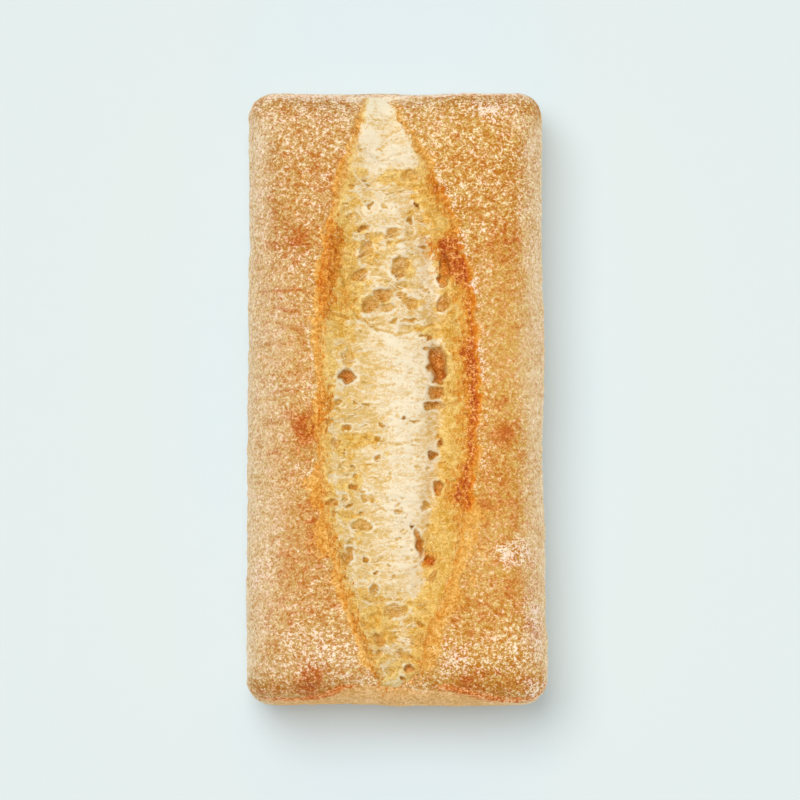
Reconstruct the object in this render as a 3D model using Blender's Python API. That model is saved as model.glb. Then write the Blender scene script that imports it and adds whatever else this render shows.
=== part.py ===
"""Ciabatta bun: a small oblong bread roll whose top has opened along its length.

One solid. A block with loop cuts is drawn out into a loaf: a rounded rectangle in plan, with
soft shoulders, walls that bulge to a waist and tuck under to a flat base. The top then sinks
between the two lips of the split, and the larger air cells of the torn crumb are pressed in.

Metres, +Z up, +Y along the loaf. The origin is at the middle of the base. The "front" end,
at -Y, is the one where the split stops short and the end wall shows.
"""

import bmesh
import bpy
import numpy as np

MM = 0.001

# Overall size
LENGTH = 150 * MM
WIDTH = 73.6 * MM
HEIGHT = 40 * MM

# The loaf's section and plan
WAIST_HEIGHT = 15 * MM       # the level where the walls bulge out furthest
BASE_INSET = 4.2 * MM        # how far the walls tuck under at the base
BASE_ROUNDING = 2.4          # exponent of the tuck: higher is squarer
SHOULDER_DEPTH = 14 * MM     # how far in from the wall the top goes on rising
SHOULDER_ROUNDING = 2.3      # exponent of the shoulder: higher is squarer
SHOULDER_EDGE = 4.0 * MM     # inset of the edge loop that parts the top from the walls
CORNER_RADIUS = 6.0 * MM     # of the plan, at the waist
CORNER_GROWTH = 0.55         # how much that radius grows with each millimetre of inset
CROWN = 1.6 * MM             # how much the middle stands above the ends
TAPER = 0.022                # the front end is this share wider than the back
CORNER_SWELL = 0.7 * MM      # the front right corner has spread a little more
CORNER_SWELL_PLACE = -65 * MM
CORNER_SWELL_REACH = 9 * MM

# The split: (distance along the loaf, left lip, right lip), in millimetres, from back to front
LIPS = (
    (75, -9.0, -1.4),
    (66, -9.9, 2.7),
    (54, -13.6, 9.0),
    (42, -16.6, 14.4),
    (27, -18.8, 18.0),
    (0, -19.2, 19.9),
    (-20, -18.9, 19.2),
    (-34, -17.1, 16.4),
    (-49, -13.1, 13.0),
    (-59, -9.3, 8.9),
    (-75, -3.2, 5.6),
)
# Its section: (share of the way from left lip to right lip, depth below the crust in millimetres)
TROUGH = (
    (-0.34, 0.0),
    (-0.14, 0.4),
    (0.0, 1.5),
    (0.08, 3.0),
    (0.22, 3.9),
    (0.5, 4.3),
    (0.78, 4.5),
    (0.9, 3.1),
    (1.0, 1.3),
    (1.13, 0.4),
    (1.34, 0.0),
)
FULL_OPENING = 25 * MM       # where the lips are closer than this, the trough gets shallower
CREVICE_PLACE = 0.78         # where the crumb tore away from the right lip, as such a share
CREVICE_WIDTH = 0.075
CREVICE_DEPTH = 2.4 * MM     # below the trough, in the loaf's middle
CREVICE_REACH = 47 * MM      # how far from the middle it runs out
NOTCH_START = 44 * MM        # from here to the ends the split also drags the crust down
NOTCH_GROWTH = 1.5           # exponent of how it deepens towards the ends
NOTCH_WIDTH = 17 * MM
FRONT_NOTCH = 6.4 * MM
BACK_NOTCH = 2.2 * MM

# The crumb's larger air cells: (across, along, width, length, depth), in millimetres
CELL_ROUNDING = 1.5          # exponent of their section: higher is more pointed
CELLS = (
    (2.1, 52.0, 5.0, 3.6, 0.8),
    (5.6, 47.8, 2.4, 2.6, 1.5),
    (-8.3, 42.2, 2.6, 3.6, 1.0),
    (-1.0, 40.4, 4.6, 3.0, 1.0),
    (-7.5, 36.8, 4.2, 4.8, 0.9),
    (-9.7, 30.4, 5.0, 3.8, 1.2),
    (0.8, 31.9, 6.0, 4.8, 1.4),
    (-3.8, 25.6, 5.2, 3.8, 1.7),
    (-7.6, 22.8, 4.6, 4.4, 1.0),
    (3.4, 24.6, 6.6, 3.4, 0.9),
    (12.0, 31.6, 3.4, 9.8, 2.2),
    (11.9, 23.4, 3.6, 3.6, 1.2),
    (-0.8, 16.4, 8.0, 1.6, 0.8),
    (-12.4, 9.6, 3.6, 5.4, 0.9),
    (-12.4, 5.0, 4.2, 3.0, 2.4),
    (10.4, 7.4, 3.8, 6.6, 2.6),
    (10.2, 2.2, 4.4, 3.6, 1.4),
    (9.4, -1.4, 5.6, 2.4, 1.5),
    (9.6, -13.4, 2.8, 2.4, 1.3),
    (10.8, -21.2, 2.6, 4.2, 1.4),
    (-15.2, -25.4, 2.8, 1.8, 0.9),
    (-8.6, -30.6, 5.4, 3.6, 0.9),
    (-12.4, -39.6, 3.2, 3.8, 1.2),
    (5.5, -36.8, 2.4, 7.6, 1.8),
    (9.6, -44.4, 2.2, 3.8, 1.0),
    (-5.8, -46.2, 2.4, 2.8, 0.9),
    (-0.4, -51.6, 5.2, 3.8, 1.0),
    (-4.6, -58.4, 4.0, 4.0, 1.1),
    (2.1, -61.8, 3.0, 2.6, 0.8),
    (3.5, -65.2, 2.8, 2.8, 1.7),
)

# Soft unevenness of the dough: (wavelength, height, seed of its directions)
SWELLS = ((46 * MM, 0.68 * MM, 3), (21 * MM, 0.36 * MM, 8), (9 * MM, 0.14 * MM, 12))
SWELL_WAVES = 6
WAVE_SPREAD = (0.75, 1.35)   # their wavelengths, as shares of the stated one

# Loop cuts of the block that is drawn out into the loaf
CRUST_COLUMNS = 8            # on each side of the split
CRUMB_COLUMNS = 24           # between its lips
ROWS = 74
WALL_LEVELS = (0, 1.1, 3.6, 8.5, 15, 20.5, 25, 28.8)   # millimetres; the shoulder's edge is next

HALF_WIDTH = WIDTH / 2
HALF_LENGTH = LENGTH / 2
RISE = HEIGHT - WAIST_HEIGHT
HALVINGS = 24                # enough to find an inset to the nanometre
BASE_LEVEL = -0.999          # the block's underside is the face whose middle lies lower


def curve_through(stations, values, at):
    """A smooth curve through hand-set stations: cubic pieces with slopes from the neighbours."""
    slopes = np.gradient(values, stations)
    i = np.clip(np.searchsorted(stations, at) - 1, 0, len(stations) - 2)
    span = stations[i + 1] - stations[i]
    t = np.clip((at - stations[i]) / span, 0, 1)
    start = (1 + 2 * t) * (1 - t) ** 2 * values[i] + t * (1 - t) ** 2 * span * slopes[i]
    end = t * t * (3 - 2 * t) * values[i + 1] + t * t * (t - 1) * span * slopes[i + 1]
    return start + end


def lips_at(y):
    """Where the crust's left and right lips lie across the loaf, at a distance along it."""
    along, left, right = np.array(LIPS[::-1]).T * MM
    return curve_through(along, left, y), curve_through(along, right, y)


def shoulder_rise(inset):
    """Height of the loaf above its waist, that far in from the waist's outline."""
    short = 1 - np.clip(inset / SHOULDER_DEPTH, 0, 1)
    return RISE * (1 - short**SHOULDER_ROUNDING) ** (1 / SHOULDER_ROUNDING)


def wall_inset(z):
    """How far the wall stands in from the waist's outline, at a height."""
    up = np.clip((z - WAIST_HEIGHT) / RISE, 0, 1)
    over = SHOULDER_DEPTH * (1 - (1 - up**SHOULDER_ROUNDING) ** (1 / SHOULDER_ROUNDING))
    down = np.clip((WAIST_HEIGHT - z) / WAIST_HEIGHT, 0, 1)
    under = BASE_INSET * (1 - (1 - down**BASE_ROUNDING) ** (1 / BASE_ROUNDING))
    return over + under


def corner_radius(inset):
    return CORNER_RADIUS + CORNER_GROWTH * inset


def round_corners(x, y, inset):
    """Draws the square corners of a plan rectangle, that far inside the waist, onto arcs."""
    radius = corner_radius(inset)
    straight_x = HALF_WIDTH - inset - radius
    straight_y = HALF_LENGTH - inset - radius
    out_x = np.maximum(np.abs(x) - straight_x, 0)
    out_y = np.maximum(np.abs(y) - straight_y, 0)
    pull = np.maximum(out_x, out_y) / np.maximum(np.hypot(out_x, out_y), 1e-9)
    rounded_x = np.sign(x) * (np.minimum(np.abs(x), straight_x) + out_x * pull)
    rounded_y = np.sign(y) * (np.minimum(np.abs(y), straight_y) + out_y * pull)
    return rounded_x, rounded_y


def inset_at(x, y):
    """The inset whose rounded rectangle passes through a point of the top, by halving."""
    low = np.zeros_like(x)
    high = np.full_like(x, SHOULDER_DEPTH)
    for _ in range(HALVINGS):
        middle = (low + high) / 2
        radius = corner_radius(middle)
        out_x = np.abs(x) - (HALF_WIDTH - middle - radius)
        out_y = np.abs(y) - (HALF_LENGTH - middle - radius)
        beyond = np.hypot(np.maximum(out_x, 0), np.maximum(out_y, 0))
        outside = beyond + np.minimum(np.maximum(out_x, out_y), 0) > radius
        high = np.where(outside, middle, high)
        low = np.where(outside, low, middle)
    return (low + high) / 2


def split_depth(x, y):
    """How far the split and its air cells sink the top, at a point of the plan."""
    left, right = lips_at(y)
    share, depth = np.array(TROUGH).T
    across = (x - left) / (right - left)
    sunk = curve_through(share, depth * MM, across) * np.clip((right - left) / FULL_OPENING, 0, 1)
    crevice = np.exp(-(((across - CREVICE_PLACE) / CREVICE_WIDTH) ** 2))
    sunk = sunk + CREVICE_DEPTH * crevice * np.exp(-((y / CREVICE_REACH) ** 6))
    nearness = np.clip((np.abs(y) - NOTCH_START) / (HALF_LENGTH - NOTCH_START), 0, 1)
    notch = np.where(y < 0, FRONT_NOTCH, BACK_NOTCH) * nearness**NOTCH_GROWTH
    sunk = sunk + notch * np.exp(-(((x - (left + right) / 2) / NOTCH_WIDTH) ** 2))
    for cell_x, cell_y, width, length, cell_depth in np.array(CELLS) * MM:
        reach = (2 * (x - cell_x) / width) ** 2 + (2 * (y - cell_y) / length) ** 2
        sunk = sunk + cell_depth * np.clip(1 - reach, 0, 1) ** CELL_ROUNDING
    return sunk


def swell(points, wavelength, seed):
    """A smooth uneven field from -1 to 1: waves in seeded directions, averaged."""
    rng = np.random.default_rng(seed)
    ways = rng.normal(size=(SWELL_WAVES, 3))
    ways /= np.linalg.norm(ways, axis=1)[:, None]
    turns = 2 * np.pi / (wavelength * rng.uniform(*WAVE_SPREAD, SWELL_WAVES))
    phases = rng.uniform(0, 2 * np.pi, SWELL_WAVES)
    return np.sin(points @ (ways * turns[:, None]).T + phases).mean(axis=1)


def block_with_cuts(columns, rows, levels):
    """A block two units a side with evenly spaced loop cuts across, along and up it."""
    bm = bmesh.new()
    bmesh.ops.create_cube(bm, size=2)
    for axis, count in enumerate((columns, rows, levels)):
        normal = [float(i == axis) for i in range(3)]
        for cut in range(1, count):
            place = [n * (2 * cut / count - 1) for n in normal]
            every = bm.verts[:] + bm.edges[:] + bm.faces[:]
            bmesh.ops.bisect_plane(bm, geom=every, dist=1e-5, plane_co=place, plane_no=normal)
    return bm


def loaf_points(block, columns, levels):
    """Places each vertex of the block on the plain loaf. Its base stays a flat face."""
    column = (block[:, 0] + 1) / 2 * columns
    level = (block[:, 2] + 1) / 2 * levels
    edge_height = WAIST_HEIGHT + shoulder_rise(SHOULDER_EDGE)
    heights = np.append(np.array(WALL_LEVELS) * MM, edge_height)
    z = np.interp(level, np.arange(levels + 1), heights)
    inset = wall_inset(z)

    half_top = HALF_WIDTH - SHOULDER_EDGE
    left, right = lips_at(block[:, 1] * (HALF_LENGTH - SHOULDER_EDGE))
    first_crumb, last_crumb = CRUST_COLUMNS, CRUST_COLUMNS + CRUMB_COLUMNS
    x = np.where(column < first_crumb, -half_top + (left + half_top) * column / first_crumb, 0)
    in_split = (column >= first_crumb) & (column <= last_crumb)
    x = np.where(in_split, left + (right - left) * (column - first_crumb) / CRUMB_COLUMNS, x)
    beyond = (column - last_crumb) / CRUST_COLUMNS
    x = np.where(column > last_crumb, right + (half_top - right) * beyond, x)

    x = x / half_top * (HALF_WIDTH - inset)
    y = block[:, 1] * (HALF_LENGTH - inset)
    x, y = round_corners(x, y, inset)

    top = level > levels - 0.5
    risen = WAIST_HEIGHT + shoulder_rise(inset_at(x, y))
    return np.stack([x, y, np.where(top, risen, z)], axis=1)


def shape_top(points):
    """Crowns the upper half of the loaf and sinks the split into it."""
    x, y, z = points.T
    share = np.clip((z - WAIST_HEIGHT) / RISE, 0, None)
    crown = CROWN * (1 - (y / HALF_LENGTH) ** 2) * (1 - (x / HALF_WIDTH) ** 2)
    z = z + share * crown - share**2 * split_depth(x, y)
    return np.stack([x, y, z], axis=1)


def add_unevenness(points):
    """Widens the front, swells one corner and makes the skin a little wavy, off the base."""
    x, y, z = points.T
    off_base = np.clip(z / WAIST_HEIGHT, 0, 1)
    x = x * (1 - TAPER / 2 * y / HALF_LENGTH)
    at_corner = np.exp(-(((y - CORNER_SWELL_PLACE) / CORNER_SWELL_REACH) ** 2))
    x = x + CORNER_SWELL * at_corner * np.clip(x / HALF_WIDTH, 0, 1) ** 4
    outward = np.stack([x / HALF_WIDTH, y / HALF_LENGTH, np.zeros_like(z)], axis=1) ** 5
    outward[:, 2] = np.clip((z - WAIST_HEIGHT) / RISE, 0, 1)
    for wavelength, height, seed in SWELLS:
        push = swell(points, wavelength, seed) * height * off_base
        x, y, z = (np.stack([x, y, z], axis=1) + outward * push[:, None]).T
    return np.stack([x, y, z], axis=1)


def fit_to_size(points):
    """Scales and centres the loaf so that its box is exactly the stated size, on the floor."""
    low, high = points.min(axis=0), points.max(axis=0)
    size = np.array([WIDTH, LENGTH, HEIGHT])
    points = (points - (low + high) / 2) * size / (high - low)
    points[:, 2] += HEIGHT / 2
    return points


def join_base(bm):
    """Makes the flat underside one face, so that its loop cuts cost no triangles."""
    under = [f for f in bm.faces if f.calc_center_median().z < BASE_LEVEL]
    bmesh.ops.dissolve_faces(bm, faces=under, use_verts=False)


def build_bun():
    columns = 2 * CRUST_COLUMNS + CRUMB_COLUMNS
    levels = len(WALL_LEVELS)
    bm = block_with_cuts(columns, ROWS, levels)
    join_base(bm)
    loose = [v for v in bm.verts if not v.link_faces]
    bmesh.ops.delete(bm, geom=loose, context="VERTS")
    block = np.array([v.co for v in bm.verts])
    points = loaf_points(block, columns, levels)
    points = fit_to_size(add_unevenness(shape_top(points)))
    for vertex, place in zip(bm.verts, points):
        vertex.co = place
    bmesh.ops.recalc_face_normals(bm, faces=bm.faces)
    mesh = bpy.data.meshes.new("ciabatta_bun")
    bm.to_mesh(mesh)
    bm.free()
    mesh.shade_smooth()
    return bpy.data.objects.new("ciabatta_bun", mesh)


def bread_material():
    """Golden, floured crust: dry and matt."""
    material = bpy.data.materials.new("baked_crust")
    material.use_nodes = True
    shader = material.node_tree.nodes["Principled BSDF"]
    shader.inputs["Base Color"].default_value = (0.69, 0.39, 0.15, 1)
    shader.inputs["Roughness"].default_value = 0.75
    shader.inputs["Metallic"].default_value = 0
    return material


def main():
    for leftover in list(bpy.data.objects):
        bpy.data.objects.remove(leftover)
    collection = bpy.data.collections.new("ciabatta_bun")
    bpy.context.scene.collection.children.link(collection)
    bun = build_bun()
    bun.data.materials.append(bread_material())
    collection.objects.link(bun)


main()
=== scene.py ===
# %% [markdown]
# # A ciabatta bun
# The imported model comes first. It is one solid, a loaf with a split along its top, and it fixes
# where everything goes. Bread could be painted on that solid with a material alone, but its torn
# crumb and its floury skin are relief as much as colour, so the solid is stood for by finer
# pieces in the same place: a crust, the crumb in the split, the strands that bridge its cells,
# and the flour.

# %% Load the frame
import itertools
import math

import bpy
import numpy as np
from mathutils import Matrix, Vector


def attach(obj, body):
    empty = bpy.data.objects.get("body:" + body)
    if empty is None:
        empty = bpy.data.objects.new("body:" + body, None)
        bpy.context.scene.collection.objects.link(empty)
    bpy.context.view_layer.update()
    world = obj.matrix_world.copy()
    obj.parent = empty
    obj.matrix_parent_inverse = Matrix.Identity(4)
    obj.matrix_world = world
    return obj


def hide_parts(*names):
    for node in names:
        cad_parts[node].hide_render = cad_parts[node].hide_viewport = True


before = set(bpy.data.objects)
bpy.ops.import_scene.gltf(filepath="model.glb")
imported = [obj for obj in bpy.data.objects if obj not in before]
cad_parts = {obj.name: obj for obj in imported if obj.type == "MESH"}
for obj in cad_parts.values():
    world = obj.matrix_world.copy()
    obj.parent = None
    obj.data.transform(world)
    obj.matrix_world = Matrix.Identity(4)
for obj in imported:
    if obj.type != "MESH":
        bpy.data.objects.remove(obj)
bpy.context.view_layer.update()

# %% [markdown]
# ## The loaf
# A ciabatta bun is cut from a sheet of slack dough, so it is a brick: nearly upright walls that
# bulge a little, a soft shoulder and a flat base. A sculpted blob would lose that. Here the loaf
# is a rule instead. At each inset from the widest outline there is one rounded rectangle, and the
# shoulder gives that rectangle's height. The sizes are the solid's own.

# %% Sizes of the loaf
MM = 0.001
LENGTH, WIDTH, HEIGHT = 150 * MM, 73.6 * MM, 40 * MM
WAIST_HEIGHT = 15 * MM
BASE_INSET, BASE_ROUNDING = 4.2 * MM, 2.4
SHOULDER_DEPTH, SHOULDER_ROUNDING = 14 * MM, 2.3
SHOULDER_EDGE = 4 * MM
CORNER_RADIUS, CORNER_GROWTH = 6 * MM, 0.55
CROWN = 1.6 * MM
TAPER = 0.022
CORNER_SWELL, CORNER_SWELL_PLACE, CORNER_SWELL_REACH = 0.7 * MM, -65 * MM, 9 * MM
HALF_WIDTH, HALF_LENGTH, RISE = WIDTH / 2, LENGTH / 2, HEIGHT - WAIST_HEIGHT
HALF_TOP = HALF_WIDTH - SHOULDER_EDGE
HALVINGS = 20   # steps in the search for a point's inset


def curve_through(stations, values, at):
    """A smooth curve through given stations."""
    slopes = np.gradient(values, stations)
    i = np.clip(np.searchsorted(stations, at) - 1, 0, len(stations) - 2)
    span = stations[i + 1] - stations[i]
    t = np.clip((at - stations[i]) / span, 0, 1)
    start = (1 + 2 * t) * (1 - t) ** 2 * values[i] + t * (1 - t) ** 2 * span * slopes[i]
    end = t * t * (3 - 2 * t) * values[i + 1] + t * t * (t - 1) * span * slopes[i + 1]
    return start + end


def ramp(value, start, end):
    """0 before start, 1 after end, smooth between. start may be the higher one."""
    t = np.clip((value - start) / (end - start), 0, 1)
    return t * t * (3 - 2 * t)


def bump_at(distance, width):
    return np.exp(-((distance / width) ** 2))


print("loaf, mm:", [round(size / MM, 1) for size in (WIDTH, LENGTH, HEIGHT)])

# %% The loaf's section and plan
def shoulder_rise(inset):
    short = 1 - np.clip(inset / SHOULDER_DEPTH, 0, 1)
    return RISE * (1 - short**SHOULDER_ROUNDING) ** (1 / SHOULDER_ROUNDING)


def wall_inset(z):
    up = np.clip((z - WAIST_HEIGHT) / RISE, 0, 1)
    over = SHOULDER_DEPTH * (1 - (1 - up**SHOULDER_ROUNDING) ** (1 / SHOULDER_ROUNDING))
    down = np.clip((WAIST_HEIGHT - z) / WAIST_HEIGHT, 0, 1)
    return over + BASE_INSET * (1 - (1 - down**BASE_ROUNDING) ** (1 / BASE_ROUNDING))


def corner_radius(inset):
    return CORNER_RADIUS + CORNER_GROWTH * inset


def round_corners(x, y, inset):
    """Draws the square corners of a plan rectangle onto arcs."""
    radius = corner_radius(inset)
    straight_x, straight_y = HALF_WIDTH - inset - radius, HALF_LENGTH - inset - radius
    out_x, out_y = np.maximum(np.abs(x) - straight_x, 0), np.maximum(np.abs(y) - straight_y, 0)
    pull = np.maximum(out_x, out_y) / np.maximum(np.hypot(out_x, out_y), 1e-9)
    return (np.sign(x) * (np.minimum(np.abs(x), straight_x) + out_x * pull),
            np.sign(y) * (np.minimum(np.abs(y), straight_y) + out_y * pull))


def inset_at(x, y):
    """The inset whose rounded rectangle passes through a point of the top, by halving."""
    low, high = np.zeros_like(x), np.full_like(x, SHOULDER_DEPTH)
    for _ in range(HALVINGS):
        middle = (low + high) / 2
        radius = corner_radius(middle)
        out_x = np.abs(x) - (HALF_WIDTH - middle - radius)
        out_y = np.abs(y) - (HALF_LENGTH - middle - radius)
        beyond = np.hypot(np.maximum(out_x, 0), np.maximum(out_y, 0))
        outside = beyond + np.minimum(np.maximum(out_x, out_y), 0) > radius
        high, low = np.where(outside, middle, high), np.where(outside, low, middle)
    return (low + high) / 2


def top_height(x, y):
    return WAIST_HEIGHT + shoulder_rise(inset_at(x, y))


print("height at the middle and 4 mm in from a wall, mm:",
      (top_height(np.array([0, HALF_TOP]), np.zeros(2)) / MM).round(1))

# %% [markdown]
# ## The split
# In the oven the crust gives way along the loaf and the crumb swells into the gap. Two curves say
# where the crust's lips lie, and one section says how deep the gap is from lip to lip. By the
# right lip the crumb has torn away and left a crevice. At both ends the gap drags the crust down.

# %% The split's lips and section
# The lips' lines: (along, left lip, right lip) in mm
LIPS = np.array((
    (75, -9.0, -1.4), (66, -9.9, 2.7), (54, -13.6, 9.0), (42, -16.6, 14.4), (27, -18.8, 18.0),
    (0, -19.2, 19.9), (-20, -18.9, 19.2), (-34, -17.1, 16.4), (-49, -13.1, 13.0),
    (-59, -9.3, 8.9), (-75, -3.2, 5.6),
))[::-1]
# The gap's section: (share of the way across, depth in mm)
TROUGH = np.array((
    (-0.34, 0.0), (-0.14, 0.4), (0.0, 1.5), (0.08, 3.0), (0.22, 3.9), (0.5, 4.3), (0.78, 4.5),
    (0.9, 3.1), (1.0, 1.3), (1.13, 0.4), (1.34, 0.0),
))
FULL_OPENING = 25 * MM
CREVICE_PLACE, CREVICE_WIDTH, CREVICE_DEPTH, CREVICE_REACH = 0.78, 0.075, 2.4 * MM, 47 * MM
NOTCH_START, NOTCH_GROWTH, NOTCH_WIDTH = 44 * MM, 1.5, 17 * MM
FRONT_NOTCH, BACK_NOTCH = 6.4 * MM, 2.2 * MM


def lips_at(y):
    along, left, right = LIPS.T * MM
    return curve_through(along, left, y), curve_through(along, right, y)


def trough_depth(x, y):
    left, right = lips_at(y)
    across = (x - left) / (right - left)
    sunk = curve_through(TROUGH[:, 0], TROUGH[:, 1] * MM, across)
    sunk = sunk * np.clip((right - left) / FULL_OPENING, 0, 1)
    crevice = CREVICE_DEPTH * bump_at(across - CREVICE_PLACE, CREVICE_WIDTH)
    sunk = sunk + crevice * np.exp(-((y / CREVICE_REACH) ** 6))
    nearness = np.clip((np.abs(y) - NOTCH_START) / (HALF_LENGTH - NOTCH_START), 0, 1)
    notch = np.where(y < 0, FRONT_NOTCH, BACK_NOTCH) * nearness**NOTCH_GROWTH
    return sunk + notch * bump_at(x - (left + right) / 2, NOTCH_WIDTH)


def shape_top(x, y, z, sunk):
    """Crowns the upper half of the loaf and sinks the split into it."""
    share = np.clip((z - WAIST_HEIGHT) / RISE, 0, None)
    crown = CROWN * (1 - (y / HALF_LENGTH) ** 2) * (1 - (x / HALF_WIDTH) ** 2)
    return z + share * crown - share**2 * sunk


left, right = lips_at(np.array([0.0]))
print("the split is", round(1000 * (right - left)[0], 1), "mm wide at the middle")

# %% [markdown]
# ## Unevenness
# Dough is never even. Smooth random lumps come from a table of random numbers read between its
# entries, with a width for each axis, so that the same function draws round dimples, stretched
# wrinkles and fibres. The loaf's own soft swells are those of the solid.

# %% Random lumps and foam
TABLE = 64                 # entries a side in the tables of random numbers
CELL_SPREAD = 0.08, 0.92   # where a foam cell's middle may lie in its square


def lumps(points, sizes, seed):
    """Smooth random values from -1 to 1. sizes is a lump's width in mm, one or one for each axis."""
    table = np.random.default_rng(seed).uniform(-1, 1, (TABLE, TABLE, TABLE))
    place = points / (np.array(sizes) * MM) + 7.31 * seed
    cell = np.floor(place).astype(int)
    part = place - cell
    part = part * part * (3 - 2 * part)
    total = np.zeros(len(points))
    for corner in itertools.product((0, 1), repeat=3):
        i, j, k = ((cell + corner) % TABLE).T
        total += np.where(corner, part, 1 - part).prod(axis=1) * table[i, j, k]
    return total


def foam(x, y, sizes, seed):
    """Cells of a random foam, in mm: how far inside its cell each point is, and the cell's number."""
    table = np.random.default_rng(seed).uniform(*CELL_SPREAD, (TABLE, TABLE, 3))
    place_x, place_y = x / sizes[0] + 3.7 * seed, y / sizes[1] + 1.9 * seed
    cell_x, cell_y = np.floor(place_x).astype(int), np.floor(place_y).astype(int)
    nearest, second, number = np.full(len(x), 9.0), np.full(len(x), 9.0), np.zeros(len(x))
    for step_x, step_y in itertools.product((-1, 0, 1), repeat=2):
        entry = table[(cell_x + step_x) % TABLE, (cell_y + step_y) % TABLE]
        away = np.hypot(cell_x + step_x + entry[:, 0] - place_x, cell_y + step_y + entry[:, 1] - place_y)
        second = np.minimum(second, np.maximum(nearest, away))
        number = np.where(away < nearest, entry[:, 2], number)
        nearest = np.minimum(nearest, away)
    return second - nearest, (number - CELL_SPREAD[0]) / (CELL_SPREAD[1] - CELL_SPREAD[0])


print("a lump's value at the middle of the loaf:", lumps(np.zeros((1, 3)), 5, 1).round(2)[0])

# %% The loaf's swells
# Each swell: (wavelength, height, seed)
SWELLS = ((46 * MM, 0.68 * MM, 3), (21 * MM, 0.36 * MM, 8), (9 * MM, 0.14 * MM, 12))
WAVES = 6   # waves in each swell


def swell(points, wavelength, seed):
    rng = np.random.default_rng(seed)
    ways = rng.normal(size=(WAVES, 3))
    ways /= np.linalg.norm(ways, axis=1)[:, None]
    turns = 2 * np.pi / (wavelength * rng.uniform(0.75, 1.35, WAVES))
    phases = rng.uniform(0, 2 * np.pi, WAVES)
    return np.sin(points @ (ways * turns[:, None]).T + phases).mean(axis=1)


def add_unevenness(points):
    """Widens the front, swells one corner and makes the skin a little wavy, off the base."""
    x, y, z = points.T
    off_base = np.clip(z / WAIST_HEIGHT, 0, 1)
    x = x * (1 - TAPER / 2 * y / HALF_LENGTH)
    at_corner = bump_at(y - CORNER_SWELL_PLACE, CORNER_SWELL_REACH)
    x = x + CORNER_SWELL * at_corner * np.clip(x / HALF_WIDTH, 0, 1) ** 4
    outward = np.stack([x / HALF_WIDTH, y / HALF_LENGTH, np.zeros_like(z)], axis=1) ** 5
    outward[:, 2] = np.clip((z - WAIST_HEIGHT) / RISE, 0, 1)
    for wavelength, height, seed in SWELLS:
        push = swell(points, wavelength, seed) * height * off_base
        x, y, z = (np.stack([x, y, z], axis=1) + outward * push[:, None]).T
    return np.stack([x, y, z], axis=1)


print("the crown's middle moves by, mm:",
      (add_unevenness(np.array([[0, 0, HEIGHT]])) / MM - (0, 0, HEIGHT / MM)).round(2)[0])

# %% [markdown]
# ## The crust's mesh
# The crust is the whole loaf as one closed skin. Its top is a grid whose columns follow the lips,
# close together on the two pillows of crust and wide apart under the crumb, where nothing shows.
# Rings go down the walls from the grid's border, and the last one is closed under the base.

# %% Lay out the crust
CRUST_COLUMNS, HIDDEN_COLUMNS, CRUST_ROWS = 63, 14, 326   # columns on each pillow, and under the crumb
# Heights of the rings down the wall
WALL_HEIGHTS = np.concatenate([np.linspace(33.2, 6, 25), (4.6, 3.3, 2.2, 1.3, 0.6, 0.2, 0)]) * MM
UNDER_INSETS = np.array((1.0, 3.0, 8.0)) * MM   # rings of the flat base, in from its edge
LIP_JITTER = ((3.1, 0.55, 21), (1.1, 0.28, 22))  # (wavelength in mm, height in mm, seed)
HIDDEN_DROP = 3.8 * MM   # how far the crust sinks under the crumb


def torn_lips(y):
    """The lips with their small scallops and snags."""
    left, right = lips_at(y)
    line = np.stack([np.zeros_like(y), y, np.zeros_like(y)], axis=1)
    for size, height, seed in LIP_JITTER:
        left = left + height * MM * lumps(line, size, seed)
        right = right + height * MM * lumps(line, size, seed + 40)
    return left, right


def grid_faces(columns, rows):
    """Quads of a grid of points counted along the rows first."""
    start = np.arange(columns)[:, None] * (rows + 1) + np.arange(rows)
    start = start.ravel()
    return np.stack([start, start + rows + 1, start + rows + 2, start + 1], axis=1)


def border_of(columns, rows):
    """The grid's border points, once round, anticlockwise from above."""
    step = rows + 1
    front, back = np.arange(columns) * step, np.arange(columns, 0, -1) * step + rows
    right, left = columns * step + np.arange(rows), np.arange(rows, 0, -1)
    return np.concatenate([front, right, back, left])


def ring_faces(above, below):
    """Quads between two rings of points, the upper one first."""
    return np.stack([above, below, np.roll(below, -1), np.roll(above, -1)], axis=1)


print("crust grid:", 2 * CRUST_COLUMNS + HIDDEN_COLUMNS, "by", CRUST_ROWS, "quads, and",
      len(WALL_HEIGHTS) + len(UNDER_INSETS), "rings")

# %% Place the crust's points
def crust_plan():
    """Plan of the top grid, as shares of the half width and half length."""
    columns = 2 * CRUST_COLUMNS + HIDDEN_COLUMNS
    along = np.linspace(-1, 1, CRUST_ROWS + 1)
    left, right = lips_at(along * (HALF_LENGTH - SHOULDER_EDGE))
    stops = np.stack([np.full_like(left, -HALF_TOP), left, right, np.full_like(left, HALF_TOP)])
    stations = (0, CRUST_COLUMNS, CRUST_COLUMNS + HIDDEN_COLUMNS, columns)
    weights = [np.interp(np.arange(columns + 1), stations, row) for row in np.eye(4)]
    across = np.stack(weights, axis=1) @ stops / HALF_TOP
    return across.ravel(), np.tile(along, columns + 1)


def hidden_depth(x, y):
    """How far the crust drops away under the crumb, which covers it."""
    left, right = torn_lips(y)
    inside = np.minimum(x - left, right - x)
    ends = ramp(y, -70.5 * MM, -67 * MM) * ramp(y, 73 * MM, 70 * MM)
    return HIDDEN_DROP * ramp(inside, 1.0 * MM, 3.4 * MM) * ends


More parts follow.
